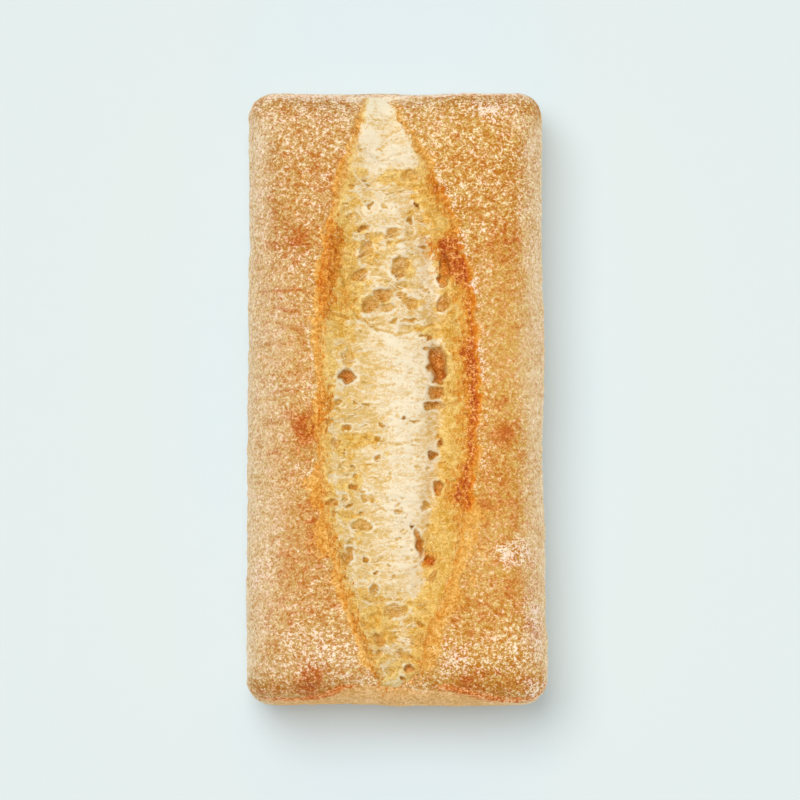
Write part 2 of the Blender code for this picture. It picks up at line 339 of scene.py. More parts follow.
def crust_points():
    across, along = crust_plan()
    columns = 2 * CRUST_COLUMNS + HIDDEN_COLUMNS
    x, y = round_corners(across * HALF_TOP, along * (HALF_LENGTH - SHOULDER_EDGE),
                         np.full_like(across, SHOULDER_EDGE))
    z = shape_top(x, y, top_height(x, y), trough_depth(x, y) + hidden_depth(x, y))
    points, faces = [np.stack([x, y, z], axis=1)], [grid_faces(columns, CRUST_ROWS)]
    border = border_of(columns, CRUST_ROWS)
    above, count = border, len(x)
    insets = np.concatenate([wall_inset(WALL_HEIGHTS), BASE_INSET + UNDER_INSETS])
    heights = np.concatenate([WALL_HEIGHTS, np.zeros(len(UNDER_INSETS))])
    for inset, height in zip(insets, heights):
        x, y = round_corners(across[border] * (HALF_WIDTH - inset),
                             along[border] * (HALF_LENGTH - inset), inset)
        z = shape_top(x, y, np.full_like(x, height), trough_depth(x, y))
        points.append(np.stack([x, y, z], axis=1))
        below = count + np.arange(len(border))
        faces.append(ring_faces(above, below))
        above, count = below, count + len(border)
    return np.concatenate(points), np.concatenate(faces).tolist() + [above[::-1].tolist()]


plan_points, crust_faces = crust_points()
print("crust:", len(plan_points), "points before its relief")

# %% Make a mesh of them
def plain_mesh(name, points, faces):
    mesh = bpy.data.meshes.new(name)
    mesh.from_pydata(points.tolist(), [], faces)
    mesh.shade_smooth()
    return mesh


def placed(name, data):
    """Adds an object to the scene."""
    thing = bpy.data.objects.new(name, data)
    bpy.context.scene.collection.objects.link(thing)
    return thing


def normals_of(mesh):
    normals = np.empty(3 * len(mesh.vertices), np.float32)
    mesh.vertex_normals.foreach_get("vector", normals)
    return normals.reshape(-1, 3)


crust_mesh = plain_mesh("bun_crust", add_unevenness(plan_points), crust_faces)
print("crust mesh:", len(crust_mesh.vertices), "points,", len(crust_mesh.polygons), "faces")

# %% [markdown]
# ## The crust's relief
# The skin of a floured, wet dough dries in fine wrinkles, with blisters here and there. Towards
# the long sides the wrinkles run across the loaf, because the walls shrank as they cooled. The
# relief is a sum of lumps along the skin's normals, and what is finer than the mesh is left to
# the material.

# %% Wrinkle and blister the crust
# Blisters, and a pock where one has burst: (across, along, radius, height) in mm
BLISTERS = (
    (-24.4, 37.5, 2.9, 0.5), (-22.2, -8.2, 2.2, 0.45), (-20.2, -69.2, 2.3, 0.6),
    (27.1, -10.0, 1.6, 0.4), (27.6, 36.6, 2.0, 0.45), (25.2, -44.0, 2.6, -0.3),
    (-31.0, 12.0, 2.4, 0.3), (30.4, 8.0, 2.8, 0.3), (-26.0, -44.0, 3.2, 0.4),
    (30.5, 60.0, 3.0, 0.35), (-30.0, 62.0, 3.4, 0.35), (24.0, -66.0, 3.2, 0.4),
)
# Creases across the left pillow: (along, outer end, inner end, rise towards the lip, depth) in mm
CREASES = (
    (42.4, -34.5, -27, 0.6, 0.2), (36.2, -36, -29, -0.8, 0.2), (24.9, -36, -19.5, -0.6, 0.4),
    (21.0, -34, -21, -2.2, 0.3), (17.2, -33, -22, -3.0, 0.25), (11.3, -36, -24, 1.6, 0.25),
    (4.2, -36, -21.5, 1.4, 0.22), (-1.0, -36, -23, 2.2, 0.25), (-7.6, -36, -25, 1.0, 0.2),
    (-15.0, -36, -26, 0.8, 0.18), (-22.5, -36, -27, 1.2, 0.18), (-35.8, -36, -26, 0.7, 0.2),
    (30.5, -36, -27, 0.3, 0.2), (52.0, -34, -26, 0.4, 0.15),
)
CREASE_WIDTH = 0.42
# Lumps of the skin: (widths in mm, height in mm, seed)
SKIN_LUMPS = (((7, 5, 5), 0.15, 31), ((2.6, 1.9, 2), 0.12, 32), ((1.25, 1.0, 1.1), 0.11, 33))
TOP_FOLDS, WALL_FOLDS = 0.08, 0.26         # height of the folds on the top, and more on the walls
LIP_ROLL, LIP_ROLL_WIDTH = 0.15, 0.9       # the skin rolls up a little beside the lips
BLISTER_MOAT, MOAT_WIDTH = 0.4, 0.2        # a blister's rim, as shares of its height and radius


def crease_field(x, y):
    """Depth of the creases, all in mm."""
    wander = 0.5 * lumps(np.stack([x, y, y], axis=1) * MM, (3, 9, 9), 36)
    total = np.zeros(len(x))
    for along, outer, inner, rise, depth in CREASES:
        share = (x - outer) / (inner - outer)
        line = along + rise * np.clip(share, 0, 1) ** 1.5 + wander
        ends = ramp(share, -0.05, 0.15) * ramp(share, 1.05, 0.75)
        total += depth * ends * bump_at(y - line, CREASE_WIDTH)
    return total


def crust_relief(points):
    x, y, z = points.T / MM
    left, right = (lip / MM for lip in torn_lips(points[:, 1]))
    beside = np.maximum(left - x, x - right)
    steepness = ramp(inset_at(points[:, 0], points[:, 1]) / MM, 9, 2)
    relief = sum(height * lumps(points, widths, seed) for widths, height, seed in SKIN_LUMPS)
    folds = 0.5 - np.abs(lumps(points, (9, 1.5, 9), 34))
    relief += (TOP_FOLDS + WALL_FOLDS * steepness) * folds
    relief += LIP_ROLL * bump_at(beside - 0.6, LIP_ROLL_WIDTH) * ramp(z, 24, 30)
    relief -= crease_field(x, y)
    for blister_x, blister_y, radius, height in BLISTERS:
        away = np.hypot(x - blister_x, y - blister_y) / radius
        moat = BLISTER_MOAT * bump_at(away - 1 - 0.75 * MOAT_WIDTH, MOAT_WIDTH)
        relief += height * (np.clip(1 - away**2, 0, 1) - moat)
    return relief * MM * ramp(z, 0, 3)


raised = add_unevenness(plan_points) + normals_of(crust_mesh) * crust_relief(plan_points)[:, None]
low, high = raised.min(axis=0), raised.max(axis=0)
fit_scale = np.array([WIDTH, LENGTH, HEIGHT]) / (high - low)
fit_middle = (low + high) / 2


def fit_to_box(points):
    """The crust's own scaling into the solid's box, used for every piece."""
    points = (points - fit_middle) * fit_scale
    points[:, 2] += HEIGHT / 2
    return points


crust_mesh.vertices.foreach_set("co", fit_to_box(raised).astype(np.float32).ravel())
crust_mesh.update()
print("the crust was scaled by", fit_scale.round(4), "to fill the solid's box")

# %% [markdown]
# ## Where the crust is brown, pale and floury
# The oven browns what stands proud and leaves the walls pale. Flour lies thickest where the dough
# was dusted and pressed. The creases are painted darker too, which is painted shade, and the back
# rim paler, which is a painted highlight. These are soft patches with known places, so each is worked
# out for every point and kept as an attribute on the mesh, which the material reads.

# %% Where the crust is brown, floury and crisp
# Each patch: (across, along, width, length, strength), the first four in mm
BROWN_PATCHES = (
    (-25, 69, 16, 7, 0.05), (-22.2, -8.2, 4, 4, 1.1), (-24.4, 37.5, 4, 3.6, 0.7),
    (27.1, -10, 2.8, 2.8, 1.0), (27, 36, 5, 5, 0.5), (-26, -72, 16, 3, 0.55), (26, -71, 14, 3, 0.55),
    (18, -70, 4, 3, 0.5), (-28, 68, 14, 5, 0.1), (24, 70, 14, 4, 0.2), (22, -54, 8, 5, 0.25),
    (-20.7, -69, 2.6, 2.8, 1.3), (-24, -44, 8, 10, 0.35), (30, -46, 5, 5, 0.35), (34, -58, 2.4, 2.4, 0.8),
    (22, 55, 9, 12, 0.07), (-20, -30, 4, 8, 0.5), (25, -2.6, 3, 1.8, 0.6), (24, -28, 9, 12, 0.25),
    (-14, 50, 6, 10, 0.3), (14, -57, 6, 9, 0.3),
)
FLOUR_PATCHES = (
    (-19, -65, 10, 6, 0.68), (-26, -60, 6, 5, 0.4), (28.8, -39.2, 4.2, 3.4, 1.6), (33, -38, 3, 5, 0.25),
    (34, -56, 2.8, 10, 1.0), (30, -58, 3, 4, 0.2), (29, -66, 4, 4, 0.5), (23, -67, 4, 3, 0.4),
    (16, -64, 6, 5, 0.5), (11, -66, 4, 4, 0.4), (-29, -20, 4, 5, 0.2), (-22, -18, 3.5, 4, 0.4),
    (-20, 2, 5, 10, 0.2), (-22, 30, 5, 5, 0.4), (-27, 36, 5, 5, 0.3), (-25, 67, 12, 6, 0.5),
    (-18, 56, 4, 8, 0.3), (20, 69, 12, 4, 0.45), (22.6, 69, 3.4, 3.4, 0.8), (32, 65, 3, 5, 0.1),
    (16, 75, 13, 2.5, 0.9), (-29, 73.5, 6, 2.5, 0.3), (14, 45, 4, 5, 0.5), (33, 30, 4, 14, 0.2),
    (-33, -43, 5, 8, 0.7), (22, -20, 3, 9, 0.3), (25, -1.5, 4.5, 3.5, -0.7), (29, -18, 6, 10, -0.15),
    (-28, -30, 4, 6, 0.15), (-28, 10, 5, 8, -0.1), (24, 22, 5, 8, 0.15), (21, 36, 4, 5, 0.3),
)
# Where light and dark flecks stand out more, or less, than elsewhere
CRISP_PATCHES = (
    (26, 54, 14, 18, 0.4), (28, -67, 10, 6, 0.5), (28, 12, 10, 22, -0.7), (24, -36, 14, 17, -0.5),
    (-24, 14, 10, 20, -0.15), (-28, -34, 9, 20, -0.4), (-22, -67, 12, 6, -0.2), (-25, 60, 12, 14, 0.1),
    (-28, 10, 9, 20, -0.15),
)


def patches(x, y, table):
    """Sum of a table's soft patches, with x and y in mm."""
    total = np.zeros(len(x))
    for patch_x, patch_y, width, length, strength in table:
        total += strength * np.exp(-(((x - patch_x) / width) ** 2 + ((y - patch_y) / length) ** 2))
    return total


print(len(BROWN_PATCHES), "brown patches,", len(FLOUR_PATCHES), "with more or less flour,",
      len(CRISP_PATCHES), "crisper or duller")

# %% How hard the lips are baked, and where the front wall begins
# How hard each lip is baked, how far the right one's red core reaches into the crumb, and how wide
# the lips' golden edges are: (along, left bake, right bake, core, left edge, right edge), lengths in mm
LIP_BAKE = np.array((
    (75, 0.1, 0.1, 1, 1.2, 0.8), (62, 0.1, 0.1, 1, 1.4, 1.0), (55, 0.2, 0.2, 1, 2.0, 1.8),
    (50, 0.2, 0.8, 2.2, 1.6, 2.2), (45, 0.25, 0.6, 1.6, 1.6, 2.0), (42, 0.4, 0.2, 1, 1.6, 1.8),
    (39.5, 0.8, 0.5, 2.5, 1.6, 1.5), (37, 0.85, 1.0, 5.0, 1.6, 1.2), (28.5, 0.85, 1.0, 4.6, 1.6, 1.2),
    (25.5, 0.85, 0.85, 1.8, 1.6, 1.2), (19, 0.6, 0.8, 1.4, 1.2, 1.2), (15, 0.35, 0.85, 1.6, 1.2, 1.2),
    (11, 0.3, 1.0, 2.8, 1.2, 1.2), (1, 0.35, 1.0, 2.4, 1.2, 1.4), (-1, 0.7, 1.0, 2.2, 1.4, 1.6),
    (-6.5, 0.6, 0.9, 1.8, 2.0, 1.4), (-10, 0.35, 0.85, 1.8, 2.2, 1.4), (-20, 0.3, 0.85, 2.2, 2.6, 1.8),
    (-23, 0.3, 1.0, 4.0, 2.8, 3.0), (-26, 0.3, 0.9, 4.0, 2.8, 3.6), (-30, 0.35, 0.4, 2.0, 2.8, 4.2),
    (-36, 0.45, 0.28, 1, 2.6, 4.4), (-45, 0.42, 0.25, 1, 2.4, 4.0), (-60, 0.42, 0.26, 1, 2.0, 2.8),
    (-75, 0.3, 0.2, 1, 2.0, 2.0),
))[::-1]
# Where the front wall's bare dough meets the floured top: (across, distance from the front) in mm
FRONT_RIM = np.array((
    (-37, -0.4), (-27, 0.1), (-22, 0.3), (-19, 0.7), (-16, 1.6), (-13, 2.9), (-9, 4.0), (-4, 4.4), (0, 4.0),
    (5, 3.4), (10, 3.3), (13, 3.0), (18, 2.1), (21, 1.3), (24, 0.4), (28, 0), (37, -0.4),
))


def lip_bake(y):
    return [np.interp(y, LIP_BAKE[:, 0], column) for column in LIP_BAKE.T[1:]]


print("baking of the left and right lips at the middle:", [float(v) for v in lip_bake(0)[:2]])

# %% Masks of the crust
def crust_masks(points):
    """One value for each point and each kind of skin. Lengths are in mm."""
    x, y, z = points.T / MM
    left, right = (lip / MM for lip in torn_lips(points[:, 1]))
    inset = inset_at(points[:, 0], points[:, 1]) / MM
    left_bake, right_bake, _, left_edge, right_edge = lip_bake(y)
    fine = lumps(points, 1.3, 54) + 0.6 * lumps(points, 0.7, 55)
    rough = lumps(points, (5, 4, 5), 51)
    on_left, high_up, from_middle = x < (left + right) / 2, ramp(z, 22, 31), np.abs(y)
    away = np.where(on_left, left - x, x - right) + np.where(on_left, 0.4, 0.7) * fine

    # the torn lips: scorched at the edge, with a golden glow outside it
    lip = np.where(on_left, 0.78 * left_bake, 1.03 * right_bake)
    lip = lip * ramp(away, np.where(on_left, 1.2, 1.8), -0.4)
    wander = 1 + 1.1 * lumps(points, (3, 4, 3), 50) - 0.6 * ramp(y, 36, 48) * on_left
    edge = np.where(on_left, left_edge, right_edge) * np.clip(wander, 0.15, 2)
    glow = ramp(away / edge, 1.6, 0.0) * ramp(y, -70, -66) * (1 - 0.45 * ramp(y, 56, 66))
    bared = ramp(np.abs(x + 4.7) + 0.7 * fine, 9, 5.5) * ramp(y, 71, 73.5) * ramp(z, 25, 30)
    glow = glow * (1 - bared)

    # the front wall of bare dough and its browned rim, and a paler rim at the back, a painted highlight
    over_rim = y + HALF_LENGTH / MM - np.interp(x, *FRONT_RIM.T) - 0.3 * lumps(points, 2, 56)
    over_rim -= 5 * ramp(z + 2 * rough, 26, 16)
    end_wall = ramp(over_rim, 0.25, -0.25) * ramp(np.abs(x + 1.5) + 1.5 * rough, 34, 25)
    rim = bump_at(over_rim - 0.45 - 0.3 * rough, 0.85) * ramp(z, 19, 24) * ramp(np.abs(x), 6, 14)
    back_rim = ramp(y + 0.3 * fine, 72, 74) * ramp(z, 21, 27)

    # the pale walls, which reach over the shoulder in bands
    at_end = ramp(from_middle, 66, 70) * ramp(z, 14, 23)
    wall = (1 - ramp(z, 22.5, 31)) * (1 - 0.8 * at_end)
    side_band = 0.85 * ramp(inset + 1.4 * rough + fine, np.where(x < 0, 8.5, 7.0), 0)
    side_band = side_band * ramp(from_middle, 71, 64)
    left_band = 0.5 * ramp(x, -23, -34) * ramp(y, 44, 20) * ramp(y, -64, -50) * (1 + 0.6 * rough)
    pale = np.maximum(np.maximum(wall, side_band), left_band)

    # the creases go into the brown mask as well: painted shade in the creases, not browning
    brown = patches(x, y, BROWN_PATCHES) + 0.16 * rough + 2.2 * crease_field(x, y)
    brown += 0.14 * lumps(points, (14, 12, 12), 52) + 0.2 * ramp(from_middle, 64, 54)

    # flour: patches, lumps, a line beside the lips, and little of it on the walls;
    # more at the back rim, as part of its painted highlight
    flour = 0.22 + 0.75 * patches(x, y, FLOUR_PATCHES)
    flour += 0.22 * lumps(points, 4, 53) + 0.12 * lumps(points, 1.6, 49)
    flour += bump_at(away - 1.3, 1.3) * np.where(on_left, 0.15, 0.6 * ramp(y, -30, 0) - 0.3 * ramp(y, 34, 42))
    flour += 0.3 * back_rim + 0.5 * ramp(x, 29, 33) * ramp(y, -68, -71)
    flour *= (1 - 0.3 * np.clip(lip, 0, 1)) * (1 - 0.7 * glow)
    flour = np.clip(flour, 0, 1) * (0.45 + 0.55 * np.maximum(high_up, at_end)) * (1 - 0.8 * end_wall)

    crisp = 0.6 + 0.7 * patches(x, y, CRISP_PATCHES) + 0.28 * ramp(from_middle, 67, 71)
    return {"pale": pale, "lip": lip * high_up, "glow": glow * high_up, "brown": brown, "flour": flour,
            "gold": ramp(x, -12, 14), "end_wall": end_wall, "rim": rim, "bared": bared,
            "back_rim": back_rim, "crisp": crisp * ramp(z, 6, 24)}


def store(mesh, masks):
    for name, values in masks.items():
        layer = mesh.attributes.new(name, "FLOAT", "POINT")
        layer.data.foreach_set("value", np.clip(values, 0, 1).astype(np.float32))


store(crust_mesh, crust_masks(plan_points))
crust = placed("bun_crust", crust_mesh)
print("masks:", [layer.name for layer in crust_mesh.attributes if layer.data_type == "FLOAT"])

# %% [markdown]
# ## The crumb's cells
# The crumb is a foam that was torn across. Its large cells are each listed one by one, because they
# are what the eye knows a loaf by, and the small ones are scattered with a fixed seed. Where two
# cells meet, the deeper one wins at each point, which leaves a thin wall between them as in a
# real foam.

# %% Place the cells
LEAN = 1.5   # mm: the camera leans a little, so what stands high shows this much further back
# Each cell: (across, along, width, length, depth, turn in degrees), lengths in mm
CELLS = (
    (3.6, 55.0, 4.6, 3.0, 0.9, 0), (5.6, 47.6, 1.6, 2.2, 1.7, 20), (-12.6, 47.6, 1.0, 0.9, 0.8, 0),
    (3.4, 43.7, 1.8, 1.9, 1.0, 0), (-8.2, 41.7, 3.2, 1.6, 1.1, 28), (-0.9, 40.3, 4.6, 3.0, 1.1, 4),
    (-7.2, 36.8, 3.6, 4.8, 0.9, -10), (-6.8, 37.9, 1.9, 1.8, 1.3, 0),
    (-9.2, 30.2, 4.9, 3.3, 1.2, 14), (1.1, 32.4, 4.8, 6.0, 1.2, -20), (1.0, 29.9, 2.6, 1.8, 1.6, 10),
    (-3.3, 25.3, 5.4, 3.7, 1.5, -8), (-6.6, 22.8, 5.2, 4.6, 1.5, 40), (-3.0, 22.2, 6.4, 2.6, 0.9, 8),
    (3.6, 23.6, 6.4, 3.0, 1.0, -38),
    (1.6, 25.2, 3.0, 2.2, 1.2, 0), (12.4, 32.4, 3.2, 8.2, 2.6, 6), (11.8, 28.9, 3.0, 2.6, 2.2, 0),
    (11.9, 23.6, 3.4, 4.8, 1.6, -8), (3.6, 19.1, 5.4, 1.2, 0.9, 4), (6.9, 15.5, 1.7, 0.7, 1.1, 8),
    (8.4, 15.2, 1.5, 1.8, 1.3, 0), (7.7, 12.3, 2.4, 0.9, 0.9, 0), (-11.9, 9.8, 3.6, 5.2, 0.8, 10),
    (-12.2, 5.4, 4.6, 3.4, 2.1, -4), (10.4, 8.8, 5.4, 9.0, 2.4, 4), (10.9, 6.2, 3.6, 5.0, 2.9, 0),
    (10.2, 1.6, 4.4, 3.4, 1.7, 0), (9.2, -1.5, 5.2, 2.4, 1.5, 0), (2.1, -4.7, 1.2, 1.2, 1.3, 0),
    (4.5, -5.4, 2.8, 0.8, 0.8, -12), (-11.9, -6.9, 2.3, 1.8, 1.0, 10), (-3.8, -6.4, 2.0, 1.2, 0.8, 0),
    (-4.8, -9.6, 2.0, 0.9, 0.7, 12), (-15.1, -10.8, 2.2, 2.2, 1.2, 0), (-12.9, -13.0, 1.0, 1.0, 0.8, 0),
    (11.4, -10.6, 2.2, 2.2, 1.7, 0), (9.0, -13.5, 3.0, 2.1, 1.6, -14), (-4.3, -14.7, 2.1, 2.0, 0.8, 0),
    (-10.4, -16.7, 1.5, 1.0, 0.9, 0), (-10.4, -21.4, 2.2, 1.5, 1.2, 0), (10.4, -21.4, 2.8, 4.2, 1.7, 8),
    (-15.6, -25.3, 2.9, 1.6, 1.1, 8), (-15.1, -28.2, 1.3, 1.2, 1.0, 0), (-11.7, -26.0, 3.0, 0.8, 0.8, 16),
    (-6.8, -24.1, 3.4, 2.4, 0.7, 0), (-8.5, -30.7, 5.4, 3.4, 0.9, 0), (4.1, -31.2, 1.2, 1.0, 1.6, 0),
    (0.6, -27.5, 2.8, 1.8, 0.7, 0), (7.5, -26.0, 2.4, 2.4, 0.9, 0), (-11.7, -38.3, 2.8, 4.6, 1.3, -8),
    (5.9, -35.0, 2.2, 7.2, 1.9, 14), (8.7, -39.3, 2.6, 2.2, 1.4, 0), (9.2, -43.2, 1.6, 4.4, 1.1, -18),
    (-5.3, -46.2, 2.4, 3.2, 0.9, 0), (0.1, -51.8, 5.4, 3.8, 1.1, 0), (-4.3, -58.4, 4.0, 3.0, 1.3, -32),
    (6.0, -57.9, 2.4, 2.4, 0.9, 0), (-4.1, -61.6, 1.5, 1.9, 1.0, 0), (1.6, -61.9, 4.4, 2.4, 0.8, 0),
    (3.1, -65.3, 2.7, 2.4, 1.9, 30), (2.1, -67.8, 1.5, 1.5, 1.6, 0), (-1.6, -66.2, 3.4, 2.0, 0.8, -20),
    (-13.4, 20.0, 3.0, 1.2, 0.7, -12), (7.0, 37.4, 2.2, 1.3, 0.8, 10), (-2.5, 47.0, 2.6, 1.0, 0.5, -6),
)
SMALL_CELLS, CELL_SEED = 520, 5


def scattered_cells():
    """Small cells all over the crumb, drawn out across the loaf as it was pulled open."""
    rng = np.random.default_rng(CELL_SEED)
    along = rng.uniform(-70, 60, SMALL_CELLS)
    left, right = lips_at(along * MM)
    across = left / MM + rng.uniform(0.05, 0.95, SMALL_CELLS) * (right - left) / MM
    width = 0.7 + 1.5 * rng.random(SMALL_CELLS) ** 2.4
    length = width * rng.uniform(0.4, 0.85, SMALL_CELLS)
    depth = width * rng.uniform(0.15, 0.45, SMALL_CELLS)
    depth *= 1 - 0.6 * bump_at(along + 2, 24) * bump_at(across - 1, 9)   # the middle is smooth
    turn = rng.normal(0, 20, SMALL_CELLS)
    return np.stack([across, along, width, length, depth, turn], axis=1)


all_cells = np.concatenate([np.array(CELLS, float), scattered_cells()])
all_cells[: len(CELLS), 1] -= LEAN
print(len(CELLS), "large cells and", SMALL_CELLS, "small ones")

# %% [markdown]
# ## The crumb's mesh
# The crumb is a plug that fills the split: a fine grid over its top, a skirt down inside the loaf
# and a hidden bottom. Cells are pressed into the grid, a random foam of three sizes fills the
# rest, tears cut across it, and crests drawn out across the loaf give it its fibres. Sculpting
# it by hand would be truer for one bun, but could not be changed by a number.

# %% Lay out the crumb
CRUMB_COLUMNS, CRUMB_ROWS = 134, 640
CRUMB_FRONT, CRUMB_BACK = -71.2 * MM, 74.1 * MM
CRUMB_MARGIN = 1.8 * MM      # how far the plug reaches under each lip
PLUG_FRONT, PLUG_BACK, PLUG_BOTTOM = -69.5 * MM, 72 * MM, 22 * MM


def crumb_plan():
    along = np.linspace(CRUMB_FRONT, CRUMB_BACK, CRUMB_ROWS + 1)
    left, right = lips_at(along)
    share = np.linspace(0, 1, CRUMB_COLUMNS + 1)[:, None]
    x = left - CRUMB_MARGIN + share * (right - left + 2 * CRUMB_MARGIN)
    return x.ravel(), np.tile(along, CRUMB_COLUMNS + 1)


print("crumb grid spacing, mm:", round((CRUMB_BACK - CRUMB_FRONT) / CRUMB_ROWS / MM, 3), "along")

# %% Press the cells in
PIT_FLATNESS, PIT_ROUNDING = 2.7, 0.8   # a cell's section: how flat its floor is, and how round its wall
RIM_PLACE, RIM_WIDTH = 1.15, 0.17       # its raised rim, in radii of the cell
RIM_SHARE, HIGHEST_RIM = 0.09, 0.14     # the rim's height as a share of the depth, and its most in mm


def plan_spots(x, y):
    """Places on the ground plan for lumps to be read at, from x and y in mm."""
    return np.stack([x, y, np.zeros_like(x)], axis=1) * MM


def cell_field(x, y):
    """How deep the listed and scattered cells are at each point, and their rims, all in mm."""
    spots = plan_spots(x, y)
    warp_x = x + 0.6 * lumps(spots, 1.5, 61) + 0.25 * lumps(spots, 0.6, 60)
    warp_y = y + 0.5 * lumps(spots, 1.3, 62) + 0.25 * lumps(spots, 0.6, 59)
    depth, rim = np.zeros(len(x)), np.zeros(len(x))
    for cell_x, cell_y, width, length, deep, turn in all_cells:
        reach = 0.85 * max(width, length) + 0.6
        near = np.flatnonzero((np.abs(y - cell_y) < reach) & (np.abs(x - cell_x) < reach))
        cos, sin = math.cos(math.radians(turn)), math.sin(math.radians(turn))
        away_x, away_y = warp_x[near] - cell_x, warp_y[near] - cell_y
        round_x = 2 * (away_x * cos + away_y * sin) / width
        round_y = 2 * (away_y * cos - away_x * sin) / length
        out = np.hypot(round_x, round_y)
        pit = deep * np.clip(1 - out**PIT_FLATNESS, 0, 1) ** PIT_ROUNDING
        depth[near] = np.maximum(depth[near], pit)
        rim[near] += min(HIGHEST_RIM, RIM_SHARE * deep) * bump_at(out - RIM_PLACE, RIM_WIDTH)
    return depth, rim


print("deepest cell, mm:", all_cells[:, 4].max())

# %% Fill the rest with foam
# Where the film stayed whole and smooth: (across, along, width, length, strength), in mm
CALM_SPOTS = (
    (-3, 47, 5, 4, 1.0), (-3, 58, 4, 5, 0.6), (7.3, 28.5, 2.6, 5, 1.0), (3, -24, 3.6, 7, 0.9),
    (4.3, -44, 3, 4, 0.9), (0, 14, 8, 3, 0.5), (1, 0, 6, 10, 0.4), (-4, 21.5, 6, 1.6, 0.6),
)
# Each foam: (sizes across and along, least depth, extra depth, share where the crumb is smooth, seed)
FOAMS = (
    ((5.6, 4.2), 0.1, 0.8, 0.1, 81), ((2.6, 1.9), 0.02, 0.36, 0.25, 82),
    ((1.2, 1.0), 0.0, 0.18, 0.5, 83),
)
FOAM_SLOPE, FOAM_WALL = 0.55, 0.13   # widths of a foam cell's slope and wall, as shares of its size


def calmness(x, y):
    return np.clip(patches(x, y + LEAN, CALM_SPOTS), 0, 1)


def openness(y):
    """Where the foam is coarse and layered: the back third and the front end."""
    y = y + LEAN
    return np.maximum(ramp(y, 13, 19) * ramp(y, 60, 50), ramp(y, -42, -50))


def foam_field(x, y):
    """Depth of the random foam, and its thin walls."""
    spots = plan_spots(x, y)
    warp_x = x + 1.1 * lumps(spots, 3, 57) + 0.35 * lumps(spots, 1.1, 56)
    warp_y = y + 0.9 * lumps(spots, 2.6, 58) + 0.3 * lumps(spots, 1.0, 55)
    coarse, calm = openness(y), calmness(x, y)
    depth, walls = np.zeros(len(x)), np.zeros(len(x))
    for sizes, shallow, deep, calm_share, seed in FOAMS:
        inside, number = foam(warp_x, warp_y, sizes, seed)
        share = (calm_share + (1 - calm_share) * coarse) * (1 - 0.8 * calm)
        opened = np.clip((number - 0.5) / 0.5, 0, 1) ** 1.5
        depth += share * (shallow + deep * opened) * ramp(inside, 0, FOAM_SLOPE)
        walls = np.maximum(walls, share * bump_at(inside, FOAM_WALL) * opened)
    return depth, walls


print(len(FOAMS), "foams, held back in", len(CALM_SPOTS), "smooth spots")

# %% Tear it
# Torn edges: (height of the step, depth of the groove) and the line, in mm
TEARS = (
    (0.6, 0.45, ((-13.5, 25), (-9.2, 19.6), (-4.3, 16.8), (0.6, 15.6), (6.7, 17.2), (12.9, 19.4))),
    (0.3, 0.6, ((-11, 33.5), (-4, 37.2), (4, 38.6), (10.4, 41.5))),
    (-0.4, 0.7, ((8.2, -33), (5.4, -37), (6.2, -40.5), (10.4, -43))),
    (0.25, 0.4, ((-16, -27.5), (-9, -28.5), (-2, -26.8), (4, -28.5))),
    (0.3, 0.45, ((-12, -47.5), (-6, -49.2), (0, -48.6), (7, -50.4))),
    (0.25, 0.4, ((-12, -12), (-5, -10.6), (1, -11.4), (7, -9.8))),
    (0.3, 0.4, ((-6, 51), (0, 50), (6, 51.5))), (0.12, 0.3, ((-8, 70.2), (-4, 68.2), (0, 69.4))),
    (0.15, 0.3, ((-9, 66.4), (-3.5, 64.0), (2.5, 66))), (0.15, 0.3, ((-9.6, 60.5), (-3, 58.4), (5, 61))),
)
STEP_REACH = 4.5                         # how far in front of a tear its step has died away, in mm
GROOVE_PLACE, GROOVE_WIDTH = 0.25, 0.32  # the groove, just behind the tear


def tear_field(x, y):
    """Height of the steps at the torn edges, and depth of the grooves along them."""
    step, groove = np.zeros(len(x)), np.zeros(len(x))
    uneven = 0.5 + 0.5 * lumps(plan_spots(x, y), 1.5, 41)
    for rise, cut, line in TEARS:
        across, along = np.array(sorted(line)).T
        wander = 0.5 * lumps(np.stack([x, x, x], axis=1) * MM, 1.6, int(100 * cut))
        off = y + LEAN - np.interp(x, across, along) - wander
        inside = ramp(x, across[0] - 0.5, across[0] + 2) * ramp(x, across[-1] + 0.5, across[-1] - 2)
        step += rise * inside * np.where(off < 0, np.exp(off / STEP_REACH), 0) * ramp(off, 0.05, -0.35)
        groove += cut * inside * bump_at(off - GROOVE_PLACE, GROOVE_WIDTH) * uneven
    return step, groove


print(len(TEARS), "tears, with steps up to", max(abs(tear[0]) for tear in TEARS), "mm high")

# %% Shape the crumb
RIDGE_PLACE, RIDGE_WIDTH, RIDGE_REACH = 0.56, 0.17, 52   # shares of the way across, and mm along
BANK_HEIGHT = 1.2                                        # mm: the crumb is higher beside the left lip
CREST_STEPS, HOLLOW_STEPS = 2, 8                         # steps of the grid that crests and hollows span


def fibres(x, y, bend, sizes, seed):
    """Thin crests drawn out across the loaf, that bend round the cells."""
    return 1 - 2 * np.abs(lumps(plan_spots(x, y + bend), sizes, seed))


def crumb_relief(x, y):
    """Height of the crumb over the plain gap, with the cells and their rims, all in mm."""
    spots = plan_spots(x, y)
    left, right = (lip / MM for lip in torn_lips(y * MM))
    across = (x - left) / (right - left)
    cells, rim = cell_field(x, y)
    froth, walls = foam_field(x, y)
    step, groove = tear_field(x, y)
    bend = 1.8 * lumps(spots, 7, 63) + 0.5 * cells
    body = 0.4 * lumps(spots, (8, 6, 1), 64) + 0.25 * lumps(spots, (3.4, 2, 1), 65)
    body += bump_at(across - RIDGE_PLACE, RIDGE_WIDTH) * np.exp(-((y / RIDGE_REACH) ** 6))
    body += BANK_HEIGHT * ramp(x - left, 10, 2.5)
    threads = 0.08 * fibres(x, y, bend, (2.4, 0.8, 1), 66) + 0.06 * fibres(x, y, bend, (1.3, 0.5, 1), 67)
    grit = 0.07 * lumps(spots, (0.6, 0.5, 1), 68)
    pits = np.maximum(cells, froth) + 0.3 * np.minimum(cells, froth)
    return body + step - groove + rim + 0.08 * walls - pits + threads + grit, cells, rim


